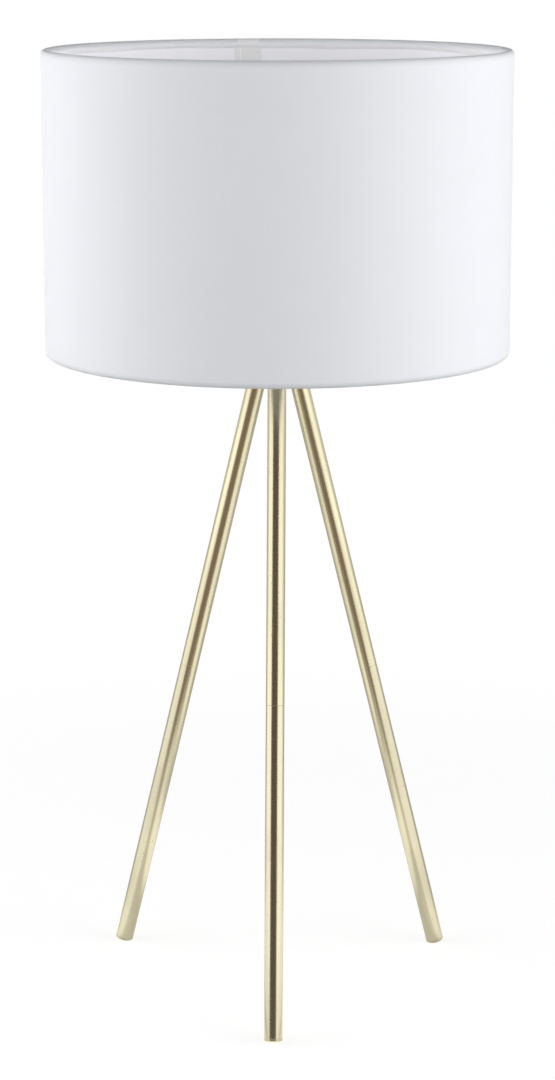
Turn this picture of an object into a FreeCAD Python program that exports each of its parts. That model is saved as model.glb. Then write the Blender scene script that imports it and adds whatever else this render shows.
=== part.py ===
"""Tripod table lamp: brass tube tripod, lampholder with a turn switch, LED bulb and a white drum shade.

Millimetres, +Z up. The origin is on the table, under the lamp's vertical axis. The front leg
points to -Y. Every piece is worked out from the driving dimensions below: the legs set the
height of the hub, the hub carries the lampholder, and the lampholder carries bulb and shade.
"""
import FreeCAD
import Part
import math
import os

Vec = FreeCAD.Vector

# ---------------------------------------------------------------- driving dimensions
# Fits
SLIDE_FIT = 0.02          # radial play of turned plugs pushed or screwed into their bores
RUNNING_FIT = 0.05        # radial play of parts that turn on each other
LOOSE_FIT = 0.25          # radial play of the fitter ring on the lampholder
FACE_GAP = 0.05           # axial play between faces that turn on each other

# Legs: two tubes, screwed together, on a closed circle of three
LEG_AZIMUTHS = {"front": -90.0, "right": 30.0, "left": 150.0}
LEG_LEAN = 15.2           # degrees from the vertical
TUBE_RADIUS = 6.0
TUBE_WALL = 0.8
TUBE_END_CHAMFER = 0.2
UPPER_TUBE_LENGTH = 213.0
LOWER_TUBE_LENGTH = 212.0
PLUG_LENGTH = 14.0        # turned plugs inside the tube ends
JOINT_INSERT_LENGTH = 16.0
JOINT_STUD_RADIUS = 3.0
JOINT_STUD_LENGTH = 12.0
HUB_STUD_RADIUS = 4.0
HUB_STUD_LENGTH = 12.0
THREAD_RUNOUT = 1.0       # bore left beyond a stud's end
FOOT_CAP_THICKNESS = 1.6
FOOT_CAP_EDGE = 0.8       # chamfer of the rim that meets the table
FOOT_SPIGOT_LENGTH = 8.0
FOOT_FLAT_DEPTH = 0.35    # worn flat under each foot

# Hub: one turned body with three leaning sockets
SOCKET_CIRCLE_RADIUS = 13.8   # of the tube ends, about the lamp's axis
SOCKET_DEPTH = 6.0
SOCKET_WALL = 1.45
HUB_FLOOR_DROP = 0.7      # the hub's floor lies this far below the tube ends
HUB_FLOOR_RADIUS = 11.0
HUB_HEIGHT = 26.0
HUB_RADIUS = 24.0
HUB_RIM_HEIGHT = 10.0     # straight rim above the cone
HUB_EDGE = 2.0
BUSH_BORE_RADIUS = 3.3    # takes the 6.2 mm round flex
BUSH_SPIGOT_RADIUS = 4.4
BUSH_SPIGOT_LENGTH = 8.0
BUSH_FLANGE_RADIUS = 5.8
BUSH_FLANGE_THICKNESS = 2.5

# Nipple, washer and nut (M10x1 lamp thread)
NIPPLE_RADIUS = 5.0
NIPPLE_BORE_RADIUS = 3.5
NIPPLE_DEPTH_IN_HUB = 13.0
NIPPLE_DEPTH_IN_CAP = 9.0
WASHER_RADIUS = 9.0
WASHER_THICKNESS = 1.2
NUT_ACROSS_FLATS = 14.0
NUT_HEIGHT = 2.8

# Lampholder
CAP_WALL = 1.0
CAP_NECK_RADIUS = 8.0
CAP_NECK_HEIGHT = 8.0
CAP_FLARE_HEIGHT = 8.0
CAP_RADIUS = 20.0
CAP_HEIGHT = 30.0
GRUB_SCREW_RADIUS = 1.5
HOLDER_LIP_DEPTH = 4.0    # the body's lip inside the cap
HOLDER_FLANGE_RADIUS = 22.5
HOLDER_FLANGE_THICKNESS = 2.4
HOLDER_RADIUS = 19.5      # outside thread that takes the ring nut
HOLDER_WALL = 1.2
HOLDER_SKIRT_HEIGHT = 31.5
INSULATOR_BASE_HEIGHT = 12.0
INSULATOR_BASE_DROP = 6.0     # the base hangs this far below the flange
INSULATOR_PLAY = 0.3          # radial play in the holder body
INSULATOR_SLEEVE_WALL = 3.2
SHELL_WALL = 0.5
SHELL_HEIGHT = 24.5
SHELL_PLAY = 0.25
CONTACT_WIDTH = 5.0
CONTACT_LENGTH = 16.0
CONTACT_THICKNESS = 0.6
TERMINAL_OFFSET = 11.5
TERMINAL_HEAD_RADIUS = 2.6
TERMINAL_HEAD_HEIGHT = 2.4
TERMINAL_SHANK_RADIUS = 1.6
TERMINAL_SHANK_LENGTH = 7.0

# Turn switch, on the +X side of the cap
SWITCH_BELOW_FLANGE = 10.0    # shaft axis below the cap's upper edge
SWITCH_BLOCK_SIZE = (11.0, 13.0, 7.0)
SHAFT_RADIUS = 1.6
SHAFT_DEPTH_IN_BLOCK = 7.0
BUSHING_RADIUS = 4.5
BUSHING_LENGTH = 4.0
BUSHING_THREAD_RADIUS = 3.2
KNOB_GAP = 0.4
KNOB_COLLAR_RADIUS = 4.2
KNOB_COLLAR_LENGTH = 5.0
KNOB_PADDLE_WIDTH = 15.0
KNOB_PADDLE_LENGTH = 12.0
KNOB_PADDLE_THICKNESS = 3.4
KNOB_EDGE = 0.8
KNOB_BORE_DEPTH = 9.0

# Ring nut that clamps the shade
RING_NUT_RADIUS = 26.0
RING_NUT_FLANGE = 2.6
RING_NUT_COLLAR_RADIUS = 23.6
RING_NUT_HEIGHT = 8.0
RING_NUT_GRIPS = 12
RING_NUT_GRIP_RADIUS = 1.5

# LED bulb, E27 cap
BULB_CAP_RADIUS = 13.15
BULB_CAP_HEIGHT = 23.0
BULB_CONE_HEIGHT = 3.2        # glass insulator between the cap and the tip
BULB_TIP_RADIUS = 4.6
BULB_TIP_HEIGHT = 1.0
BULB_CONTACT_GAP = 0.1
BULB_NECK_RADIUS = 14.6
BULB_HOUSING_HEIGHT = 39.5
BULB_RADIUS = 30.0
BULB_DOME_CENTRE = 13.0       # of the dome's sphere above the housing
BULB_DOME_WALL = 1.5
BULB_DOME_STEPS = 3           # cones that make up the dome's inside

# Shade: fabric on a stiff liner, rolled round two wire rings
SHADE_RADIUS = 150.0
SHADE_HEIGHT = 195.0
FITTER_RISE = 49.5            # underside of the fitter ring above the shade's lower edge
FABRIC_THICKNESS = 0.5
LINER_THICKNESS = 0.45
LINER_PLAY = 0.02
HEM_RADIUS = 2.8              # outside of the rolled hem
HEM_TUCK_ANGLE = 60.0         # the roll goes this far past its inner side
HEM_STEPS = 4                 # flats that make up the roll
HEM_TAIL_DROP = 0.8
RING_WIRE_RADIUS = 1.85       # over the corners of its section
RING_WIRE_SIDES = 6
GLUE_LINE = 0.15              # between the liner and the wires or the seam strip
SEAM_AZIMUTH = 99.0
SEAM_WIDTH = 18.0
SEAM_THICKNESS = 0.4
FITTER_RING_RADIUS = 28.0
FITTER_RING_THICKNESS = 1.5
ARM_WIRE_RADIUS = 1.75
ARM_AZIMUTHS = (30.0, 150.0, 270.0)
ARM_LEVEL_REACH = 54.0        # the arms run level to here, clear of the switch knob
ARM_BEND_RADIUS = 14.0
ARM_NOTCH_PLAY = 0.45

# ---------------------------------------------------------------- places that follow
SIN_LEAN = math.sin(math.radians(LEG_LEAN))
COS_LEAN = math.cos(math.radians(LEG_LEAN))
TUBE_BORE_RADIUS = TUBE_RADIUS - TUBE_WALL
PLUG_RADIUS = TUBE_BORE_RADIUS - SLIDE_FIT
LEG_LENGTH = UPPER_TUBE_LENGTH + LOWER_TUBE_LENGTH + FOOT_CAP_THICKNESS
# The chamfered rim of the leaning foot touches the table, less the worn flat.
TUBE_END_Z = LEG_LENGTH * COS_LEAN + (TUBE_RADIUS - FOOT_CAP_EDGE) * SIN_LEAN - FOOT_FLAT_DEPTH
HUB_FLOOR_Z = TUBE_END_Z - HUB_FLOOR_DROP
HUB_TOP_Z = HUB_FLOOR_Z + HUB_HEIGHT
NUT_BASE_Z = HUB_TOP_Z + WASHER_THICKNESS
CAP_BASE_Z = NUT_BASE_Z + NUT_HEIGHT
CAP_TOP_Z = CAP_BASE_Z + CAP_HEIGHT
FLANGE_TOP_Z = CAP_TOP_Z + HOLDER_FLANGE_THICKNESS
HOLDER_TOP_Z = FLANGE_TOP_Z + HOLDER_SKIRT_HEIGHT
INSULATOR_RADIUS = HOLDER_RADIUS - HOLDER_WALL - INSULATOR_PLAY
INSULATOR_BASE_Z = CAP_TOP_Z - INSULATOR_BASE_DROP
INSULATOR_FLOOR_Z = INSULATOR_BASE_Z + INSULATOR_BASE_HEIGHT
SHELL_RADIUS = INSULATOR_RADIUS - INSULATOR_SLEEVE_WALL - SHELL_PLAY
CONTACT_TOP_Z = INSULATOR_FLOOR_Z + 2 * CONTACT_THICKNESS
SWITCH_Z = CAP_TOP_Z - SWITCH_BELOW_FLANGE
FITTER_SEAT_Z = FLANGE_TOP_Z + FACE_GAP
FITTER_TOP_Z = FITTER_SEAT_Z + FITTER_RING_THICKNESS
RING_NUT_Z = FITTER_TOP_Z + FACE_GAP
SHADE_BOTTOM_Z = FITTER_SEAT_Z - FITTER_RISE
SHADE_TOP_Z = SHADE_BOTTOM_Z + SHADE_HEIGHT
HEM_CENTRE_RADIUS = SHADE_RADIUS - HEM_RADIUS
LINER_OUTER_RADIUS = SHADE_RADIUS - FABRIC_THICKNESS - LINER_PLAY
LINER_INNER_RADIUS = LINER_OUTER_RADIUS - LINER_THICKNESS
RING_CENTRE_RADIUS = LINER_INNER_RADIUS - GLUE_LINE - RING_WIRE_RADIUS
BOTTOM_HEM_Z = SHADE_BOTTOM_Z + HEM_RADIUS
TOP_HEM_Z = SHADE_TOP_Z - HEM_RADIUS
BULB_TIP_Z = CONTACT_TOP_Z + BULB_CONTACT_GAP
BULB_CAP_Z = BULB_TIP_Z + BULB_TIP_HEIGHT + BULB_CONE_HEIGHT
BULB_HOUSING_Z = BULB_CAP_Z + BULB_CAP_HEIGHT
BULB_DOME_Z = BULB_HOUSING_Z + BULB_HOUSING_HEIGHT


# ---------------------------------------------------------------- drawing helpers
class Profile:
    """A closed outline of lines and arcs in the (radius, height) plane, turned about the Z axis."""

    def __init__(self, radius, height):
        self.start = self.here = Vec(radius, 0, height)
        self.edges = []

    def line(self, radius, height):
        """Draw a straight line to a point."""
        there = Vec(radius, 0, height)
        self.edges.append(Part.LineSegment(self.here, there).toShape())
        self.here = there
        return self

    def arc(self, middle, end):
        """Draw an arc through a middle point to an end point."""
        there = Vec(end[0], 0, end[1])
        self.edges.append(Part.Arc(self.here, Vec(middle[0], 0, middle[1]), there).toShape())
        self.here = there
        return self

    def turned(self):
        """Close the outline and turn it into a solid."""
        if self.here.distanceToPoint(self.start) > 1e-6:
            self.line(self.start.x, self.start.z)
        face = Part.Face(Part.Wire(self.edges))
        return face.revolve(Vec(0, 0, 0), Vec(0, 0, 1), 360)


def disc(radius, height, base_z, axis=Vec(0, 0, 1)):
    """A cylinder on the Z axis, or from the origin along another axis."""
    base = Vec(0, 0, base_z) if axis.z == 1 else axis * base_z
    return Part.makeCylinder(radius, height, base, axis)


def tube(outer, inner, height, base_z):
    """A plain tube on the Z axis."""
    return disc(outer, height, base_z).cut(disc(inner, height, base_z))


def on_circle(shape, azimuth):
    """A copy of a shape that was drawn along +X, turned to an azimuth."""
    turned = shape.copy()
    turned.rotate(Vec(0, 0, 0), Vec(0, 0, 1), azimuth)
    return turned


def leg_place(shape, azimuth):
    """Put a piece drawn on the Z axis, with z = 0 at the tube's upper end, on a leg."""
    placed = shape.copy()
    placed.rotate(Vec(0, 0, 0), Vec(0, 1, 0), -LEG_LEAN)
    placed.translate(Vec(SOCKET_CIRCLE_RADIUS, 0, TUBE_END_Z))
    return on_circle(placed, azimuth)


# ---------------------------------------------------------------- legs
def leg_tube(joint_z, end_z):
    """A tube from the joint to its other end, its outer edge broken at the joint, which leaves a fine line."""
    edge_z = joint_z + math.copysign(TUBE_END_CHAMFER, end_z - joint_z)
    return (Profile(TUBE_BORE_RADIUS, joint_z).line(TUBE_RADIUS - TUBE_END_CHAMFER, joint_z)
            .line(TUBE_RADIUS, edge_z).line(TUBE_RADIUS, end_z).line(TUBE_BORE_RADIUS, end_z).turned())


def leg_top_plug():
    """The plug in the upper tube's top end, with the stud that screws into the hub."""
    plug = disc(PLUG_RADIUS, PLUG_LENGTH, -PLUG_LENGTH)
    return plug.fuse(disc(HUB_STUD_RADIUS, HUB_STUD_LENGTH, 0)).removeSplitter()


def leg_joint_stud():
    """The plug in the upper tube's lower end, with the stud that joins the two tubes."""
    joint_z = -UPPER_TUBE_LENGTH
    plug = disc(PLUG_RADIUS, PLUG_LENGTH, joint_z)
    return plug.fuse(disc(JOINT_STUD_RADIUS, JOINT_STUD_LENGTH, joint_z - JOINT_STUD_LENGTH)).removeSplitter()


def leg_joint_insert():
    """The tapped insert in the lower tube's top end."""
    joint_z = -UPPER_TUBE_LENGTH
    depth = JOINT_STUD_LENGTH + THREAD_RUNOUT
    body = disc(PLUG_RADIUS, JOINT_INSERT_LENGTH, joint_z - JOINT_INSERT_LENGTH)
    return body.cut(disc(JOINT_STUD_RADIUS + SLIDE_FIT, depth, joint_z - depth))


def leg_foot_cap(azimuth):
    """The end cap: a thin disc with a chamfered rim, a spigot in the tube and a worn flat on the table."""
    shoulder_z = -UPPER_TUBE_LENGTH - LOWER_TUBE_LENGTH
    end_z = shoulder_z - FOOT_CAP_THICKNESS
    spigot_top = shoulder_z + FOOT_SPIGOT_LENGTH
    cap = (Profile(0, end_z).line(TUBE_RADIUS - FOOT_CAP_EDGE, end_z)
           .line(TUBE_RADIUS, end_z + FOOT_CAP_EDGE)
           .line(TUBE_RADIUS, shoulder_z).line(PLUG_RADIUS, shoulder_z)
           .line(PLUG_RADIUS, spigot_top).line(0, spigot_top).turned())
    cap = leg_place(cap, azimuth)
    reach = 2 * (SOCKET_CIRCLE_RADIUS + LEG_LENGTH)
    below_table = Part.makeBox(reach, reach, reach, Vec(-reach / 2, -reach / 2, -reach))
    return cap.cut(below_table)


def make_leg(name, azimuth):
    """The six pieces of one leg, by node name."""
    joint_z = -UPPER_TUBE_LENGTH
    return {
        f"leg_upper_tube_{name}": leg_place(leg_tube(joint_z, 0), azimuth),
        f"leg_lower_tube_{name}": leg_place(leg_tube(joint_z, joint_z - LOWER_TUBE_LENGTH), azimuth),
        f"leg_top_plug_{name}": leg_place(leg_top_plug(), azimuth),
        f"leg_joint_stud_{name}": leg_place(leg_joint_stud(), azimuth),
        f"leg_joint_insert_{name}": leg_place(leg_joint_insert(), azimuth),
        f"leg_foot_cap_{name}": leg_foot_cap(azimuth),
    }


# ---------------------------------------------------------------- hub
def hub_body():
    """A turned cone and rim with three leaning sockets, tapped for the leg studs and the nipple."""
    rim_z = HUB_TOP_Z - HUB_RIM_HEIGHT
    body = (Profile(0, HUB_FLOOR_Z).line(HUB_FLOOR_RADIUS, HUB_FLOOR_Z).line(HUB_RADIUS, rim_z)
            .line(HUB_RADIUS, HUB_TOP_Z - HUB_EDGE)
            .line(HUB_RADIUS - HUB_EDGE, HUB_TOP_Z)
            .line(0, HUB_TOP_Z).turned())
    socket_radius = TUBE_RADIUS + SLIDE_FIT
    boss = disc(socket_radius + SOCKET_WALL, SOCKET_DEPTH + HUB_STUD_LENGTH, -SOCKET_DEPTH)
    stud_bore = disc(HUB_STUD_RADIUS + SLIDE_FIT, HUB_STUD_LENGTH + THREAD_RUNOUT, 0)
    socket = disc(socket_radius, SOCKET_DEPTH, -SOCKET_DEPTH).fuse(stud_bore)
    for azimuth in LEG_AZIMUTHS.values():
        body = body.fuse(leg_place(boss, azimuth))
    for azimuth in LEG_AZIMUTHS.values():
        body = body.cut(leg_place(socket, azimuth))
    body = body.cut(disc(NIPPLE_BORE_RADIUS, HUB_HEIGHT, HUB_FLOOR_Z))
    body = body.cut(disc(BUSH_SPIGOT_RADIUS + SLIDE_FIT, BUSH_SPIGOT_LENGTH, HUB_FLOOR_Z))
    body = body.cut(disc(NIPPLE_RADIUS + SLIDE_FIT, NIPPLE_DEPTH_IN_HUB, HUB_TOP_Z - NIPPLE_DEPTH_IN_HUB))
    return body.removeSplitter()


def cord_bush():
    """The flanged bush in the hub's floor that the flex leaves through."""
    flange_z = HUB_FLOOR_Z - BUSH_FLANGE_THICKNESS
    lip = BUSH_FLANGE_THICKNESS / 2
    return (Profile(BUSH_BORE_RADIUS, flange_z).line(BUSH_FLANGE_RADIUS - lip, flange_z)
            .line(BUSH_FLANGE_RADIUS, flange_z + lip).line(BUSH_FLANGE_RADIUS, HUB_FLOOR_Z)
            .line(BUSH_SPIGOT_RADIUS, HUB_FLOOR_Z)
            .line(BUSH_SPIGOT_RADIUS, HUB_FLOOR_Z + BUSH_SPIGOT_LENGTH)
            .line(BUSH_BORE_RADIUS, HUB_FLOOR_Z + BUSH_SPIGOT_LENGTH).turned())


def hollow_nipple():
    """The threaded tube that stands in the hub and carries the lampholder."""
    base_z = HUB_TOP_Z - NIPPLE_DEPTH_IN_HUB
    return tube(NIPPLE_RADIUS, NIPPLE_BORE_RADIUS, CAP_BASE_Z + NIPPLE_DEPTH_IN_CAP - base_z, base_z)


def lock_washer():
    """The plain washer between the hub and the nut."""
    return tube(WASHER_RADIUS, NIPPLE_RADIUS + SLIDE_FIT, WASHER_THICKNESS, HUB_TOP_Z)


def nipple_nut():
    """The thin hexagon nut that locks the nipple."""
    corner = NUT_ACROSS_FLATS / math.sqrt(3)
    corners = [Vec(corner * math.cos(math.radians(60 * k)), corner * math.sin(math.radians(60 * k)),
                   NUT_BASE_Z) for k in range(7)]
    hexagon = Part.Face(Part.makePolygon(corners)).extrude(Vec(0, 0, NUT_HEIGHT))
    return hexagon.cut(disc(NIPPLE_RADIUS + SLIDE_FIT, NUT_HEIGHT, NUT_BASE_Z))


# ---------------------------------------------------------------- lampholder
def cap_flare():
    """The neck's upper end, a point half way round the bowl of the flare, and the flare's upper end."""
    neck_top = CAP_BASE_Z + CAP_NECK_HEIGHT
    half = math.radians(45)
    middle = (CAP_NECK_RADIUS + (CAP_RADIUS - CAP_NECK_RADIUS) * math.sin(half),
              neck_top + CAP_FLARE_HEIGHT * (1 - math.cos(half)))
    return (CAP_NECK_RADIUS, neck_top), middle, (CAP_RADIUS, neck_top + CAP_FLARE_HEIGHT)


def switch_hole(radius):
    """A hole along +X through the cap's wall, at the switch shaft."""
    return Part.makeCylinder(radius, CAP_RADIUS, Vec(CAP_RADIUS / 2, 0, SWITCH_Z), Vec(1, 0, 0))


def grub_screw(radius):
    """The screw along -Y through the cap's neck, which stops at the nipple."""
    return Part.makeCylinder(radius, CAP_NECK_RADIUS - NIPPLE_RADIUS - SLIDE_FIT,
                             Vec(0, -CAP_NECK_RADIUS, CAP_BASE_Z + CAP_NECK_HEIGHT / 2), Vec(0, 1, 0))


def holder_cap():
    """The spun cap: a threaded neck, a flare and a straight wall with the switch hole."""
    neck_end, middle, flare_end = cap_flare()
    bore = NIPPLE_RADIUS + SLIDE_FIT
    inner = CAP_RADIUS - CAP_WALL
    cap = (Profile(bore, CAP_BASE_Z).line(CAP_NECK_RADIUS, CAP_BASE_Z).line(*neck_end)
           .arc(middle, flare_end).line(CAP_RADIUS, CAP_TOP_Z).line(inner, CAP_TOP_Z)
           .line(inner, flare_end[1]).line(CAP_NECK_RADIUS, neck_end[1] + CAP_WALL)
           .line(bore, neck_end[1] + CAP_WALL).turned())
    cap = cap.cut(switch_hole(BUSHING_THREAD_RADIUS + SLIDE_FIT))
    return cap.cut(grub_screw(GRUB_SCREW_RADIUS + SLIDE_FIT)).removeSplitter()


def holder_body():
    """The threaded skirt with the shoulder that the fitter ring rests on and a lip inside the cap."""
    inner = HOLDER_RADIUS - HOLDER_WALL
    lip = CAP_RADIUS - CAP_WALL - SLIDE_FIT
    lip_z = CAP_TOP_Z - HOLDER_LIP_DEPTH
    return (Profile(inner, lip_z).line(lip, lip_z).line(lip, CAP_TOP_Z)
            .line(HOLDER_FLANGE_RADIUS, CAP_TOP_Z).line(HOLDER_FLANGE_RADIUS, FLANGE_TOP_Z)
            .line(HOLDER_RADIUS, FLANGE_TOP_Z).line(HOLDER_RADIUS, HOLDER_TOP_Z)
            .line(inner, HOLDER_TOP_Z).turned())


def terminal_screw(play, length):
    """One terminal screw on the Z axis, its head down under the insulator's base."""
    head_z = INSULATOR_BASE_Z - TERMINAL_HEAD_HEIGHT
    head = disc(TERMINAL_HEAD_RADIUS, TERMINAL_HEAD_HEIGHT, head_z)
    return head.fuse(disc(TERMINAL_SHANK_RADIUS + play, length, INSULATOR_BASE_Z)).removeSplitter()


def terminal_screws():
    """Both terminal screws, left and right of the switch block."""
    screws = [terminal_screw(0, TERMINAL_SHANK_LENGTH) for _ in range(2)]
    for screw, side in zip(screws, (-1, 1)):
        screw.translate(Vec(0, side * TERMINAL_OFFSET, 0))
    return Part.makeCompound(screws)


def holder_insulator():
    """The ceramic cup round the screw shell, with a thick base for contact and terminals."""
    wall_inner = INSULATOR_RADIUS - INSULATOR_SLEEVE_WALL
    top_z = HOLDER_TOP_Z - HOLDER_WALL
    cup = (Profile(0, INSULATOR_BASE_Z).line(INSULATOR_RADIUS, INSULATOR_BASE_Z)
           .line(INSULATOR_RADIUS, top_z).line(wall_inner, top_z)
           .line(wall_inner, INSULATOR_FLOOR_Z).line(0, INSULATOR_FLOOR_Z).turned())
    for side in (-1, 1):
        hole = disc(TERMINAL_SHANK_RADIUS + SLIDE_FIT, TERMINAL_SHANK_LENGTH + THREAD_RUNOUT, INSULATOR_BASE_Z)
        hole.translate(Vec(0, side * TERMINAL_OFFSET, 0))
        cup = cup.cut(hole)
    return cup


def screw_shell():
    """The brass shell that takes the bulb's thread, with a turned-in foot on the insulator."""
    foot = SHELL_RADIUS - 3 * SHELL_WALL
    inner = SHELL_RADIUS - SHELL_WALL
    top_z = INSULATOR_FLOOR_Z + SHELL_HEIGHT
    return (Profile(foot, INSULATOR_FLOOR_Z).line(SHELL_RADIUS, INSULATOR_FLOOR_Z)
            .line(SHELL_RADIUS, top_z).line(inner, top_z)
            .line(inner, INSULATOR_FLOOR_Z + SHELL_WALL).line(foot, INSULATOR_FLOOR_Z + SHELL_WALL).turned())


def centre_contact():
    """The sprung strip under the bulb's tip: flat on the base, with a raised tongue."""
    half = CONTACT_LENGTH / 2
    strip = Part.makeBox(CONTACT_LENGTH, CONTACT_WIDTH, CONTACT_THICKNESS,
                         Vec(-half, -CONTACT_WIDTH / 2, INSULATOR_FLOOR_Z))
    tongue = Part.makeBox(half, CONTACT_WIDTH, CONTACT_THICKNESS,
                          Vec(-half / 2, -CONTACT_WIDTH / 2, INSULATOR_FLOOR_Z + CONTACT_THICKNESS))
    return strip.fuse(tongue).removeSplitter()


# ---------------------------------------------------------------- turn switch
def switch_block():
    """The insulating block under the ceramic base that holds the turning contact."""
    depth, width, height = SWITCH_BLOCK_SIZE
    outer_x = CAP_RADIUS - CAP_WALL - BUSHING_LENGTH
    block = Part.makeBox(depth, width, height, Vec(outer_x - depth, -width / 2, SWITCH_Z - height / 2))
    rim = disc(CAP_RADIUS - CAP_WALL - RUNNING_FIT, height, SWITCH_Z - height / 2)
    bore = Part.makeCylinder(SHAFT_RADIUS + RUNNING_FIT, SHAFT_DEPTH_IN_BLOCK + FACE_GAP,
                             Vec(outer_x - SHAFT_DEPTH_IN_BLOCK - FACE_GAP, 0, SWITCH_Z), Vec(1, 0, 0))
    return block.common(rim).cut(bore)


def switch_bushing():
    """The threaded bushing that clamps the switch to the cap, with the shaft running in it."""
    inner_x = CAP_RADIUS - CAP_WALL - BUSHING_LENGTH
    thread = Part.makeCylinder(BUSHING_THREAD_RADIUS, BUSHING_LENGTH + CAP_WALL, Vec(inner_x, 0, SWITCH_Z),
                               Vec(1, 0, 0))
    collar = Part.makeCylinder(BUSHING_RADIUS, BUSHING_LENGTH, Vec(CAP_RADIUS, 0, SWITCH_Z), Vec(1, 0, 0))
    bore = Part.makeCylinder(SHAFT_RADIUS + RUNNING_FIT, 3 * BUSHING_LENGTH, Vec(inner_x, 0, SWITCH_Z),
                             Vec(1, 0, 0))
    return thread.fuse(collar).cut(bore).removeSplitter()


def knob_base_x():
    """Where the knob begins, outside the bushing."""
    return CAP_RADIUS + BUSHING_LENGTH + KNOB_GAP


def shaft_span():
    """The x of the shaft's inner and outer ends."""
    inner = CAP_RADIUS - CAP_WALL - BUSHING_LENGTH - SHAFT_DEPTH_IN_BLOCK
    return inner, knob_base_x() + KNOB_BORE_DEPTH


def switch_shaft():
    """The steel spindle from the block to the knob."""
    inner, outer = shaft_span()
    return Part.makeCylinder(SHAFT_RADIUS, outer - inner, Vec(inner, 0, SWITCH_Z), Vec(1, 0, 0))


def switch_knob():
    """The turn key: a round collar and a flat oval paddle for two fingers."""
    base_x = knob_base_x()
    axis = Vec(1, 0, 0)
    collar = Part.makeCylinder(KNOB_COLLAR_RADIUS, KNOB_COLLAR_LENGTH, Vec(base_x, 0, SWITCH_Z), axis)
    bend = KNOB_PADDLE_WIDTH / 2
    start_x = base_x + KNOB_COLLAR_LENGTH / 2
    square_x = start_x + max(KNOB_PADDLE_LENGTH - bend, 1)
    low = SWITCH_Z - KNOB_PADDLE_THICKNESS / 2
    corners = [Vec(start_x, -bend, low), Vec(square_x, -bend, low), Vec(square_x, bend, low), Vec(start_x, bend, low)]
    tip = Vec(square_x + bend, 0, low)
    outline = Part.Wire([Part.LineSegment(corners[3], corners[0]).toShape(),
                         Part.LineSegment(corners[0], corners[1]).toShape(),
                         Part.Arc(corners[1], tip, corners[2]).toShape(),
                         Part.LineSegment(corners[2], corners[3]).toShape()])
    paddle = Part.Face(outline).extrude(Vec(0, 0, KNOB_PADDLE_THICKNESS))
    rim = [edge for edge in paddle.Edges if len(edge.Vertexes) == 2
           and edge.Vertexes[0].Z == edge.Vertexes[1].Z and edge.CenterOfMass.x > start_x + KNOB_EDGE]
    paddle = paddle.makeChamfer(KNOB_EDGE, rim)
    bore = Part.makeCylinder(SHAFT_RADIUS + SLIDE_FIT, KNOB_BORE_DEPTH, Vec(base_x, 0, SWITCH_Z), axis)
    return collar.fuse(paddle).cut(bore).removeSplitter()


# ---------------------------------------------------------------- ring nut
def shade_ring_nut():
    """The ring nut that clamps the fitter ring, with finger grips round its collar."""
    bore = HOLDER_RADIUS + RUNNING_FIT
    nut = tube(RING_NUT_RADIUS, bore, RING_NUT_FLANGE, RING_NUT_Z)
    nut = nut.fuse(tube(RING_NUT_COLLAR_RADIUS, bore, RING_NUT_HEIGHT, RING_NUT_Z))
    grip = Part.makeCylinder(RING_NUT_GRIP_RADIUS, RING_NUT_HEIGHT - RING_NUT_FLANGE,
                             Vec(RING_NUT_COLLAR_RADIUS + RING_NUT_GRIP_RADIUS / 2, 0, RING_NUT_Z + RING_NUT_FLANGE))
    for turn in range(RING_NUT_GRIPS):
        nut = nut.cut(on_circle(grip, turn * 360 / RING_NUT_GRIPS))
    return nut.removeSplitter()


# ---------------------------------------------------------------- bulb
def bulb_tip():
    """The solder tip of the bulb."""
    return disc(BULB_TIP_RADIUS, BULB_TIP_HEIGHT, BULB_TIP_Z)


def bulb_insulator():
    """The dark glass cone between tip and screw cap."""
    base_z = BULB_TIP_Z + BULB_TIP_HEIGHT
    return (Profile(0, base_z).line(BULB_TIP_RADIUS, base_z)
            .line(BULB_CAP_RADIUS - BULB_CONE_HEIGHT / 2, BULB_CAP_Z).line(0, BULB_CAP_Z).turned())


def bulb_screw_cap():
    """The bulb's screw cap: its lower edge is turned in to the glass cone."""
    turn_in = BULB_CONE_HEIGHT / 2
    return (Profile(0, BULB_CAP_Z).line(BULB_CAP_RADIUS - turn_in, BULB_CAP_Z)
            .line(BULB_CAP_RADIUS, BULB_CAP_Z + turn_in).line(BULB_CAP_RADIUS, BULB_HOUSING_Z)
            .line(0, BULB_HOUSING_Z).turned())


def bulb_rim_radius():
    """The dome's radius where it meets the housing."""
    return math.sqrt(BULB_RADIUS ** 2 - BULB_DOME_CENTRE ** 2)


def bulb_housing():
    """The flared plastic body between cap and dome."""
    rim = bulb_rim_radius()
    waist = (BULB_NECK_RADIUS + (rim - BULB_NECK_RADIUS) * 0.38, BULB_HOUSING_Z + BULB_HOUSING_HEIGHT / 2)
    return (Profile(0, BULB_HOUSING_Z).line(BULB_NECK_RADIUS, BULB_HOUSING_Z)
            .arc(waist, (rim, BULB_DOME_Z)).line(0, BULB_DOME_Z).turned())


def bulb_dome():
    """The opal dome: a thin spherical shell that stands on the housing."""
    centre_z = BULB_DOME_Z + BULB_DOME_CENTRE
    inner = BULB_RADIUS - BULB_DOME_WALL
    lowest = -math.asin(BULB_DOME_CENTRE / inner)
    shell = Profile(bulb_rim_radius(), BULB_DOME_Z).arc((BULB_RADIUS, centre_z), (0, centre_z + BULB_RADIUS))
    for step in range(BULB_DOME_STEPS, -1, -1):
        angle = lowest + (math.pi / 2 - lowest) * step / BULB_DOME_STEPS
        radius = inner * math.cos(angle) if step < BULB_DOME_STEPS else 0
        shell.line(radius, centre_z + inner * math.sin(angle))
    return shell.turned()


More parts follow.
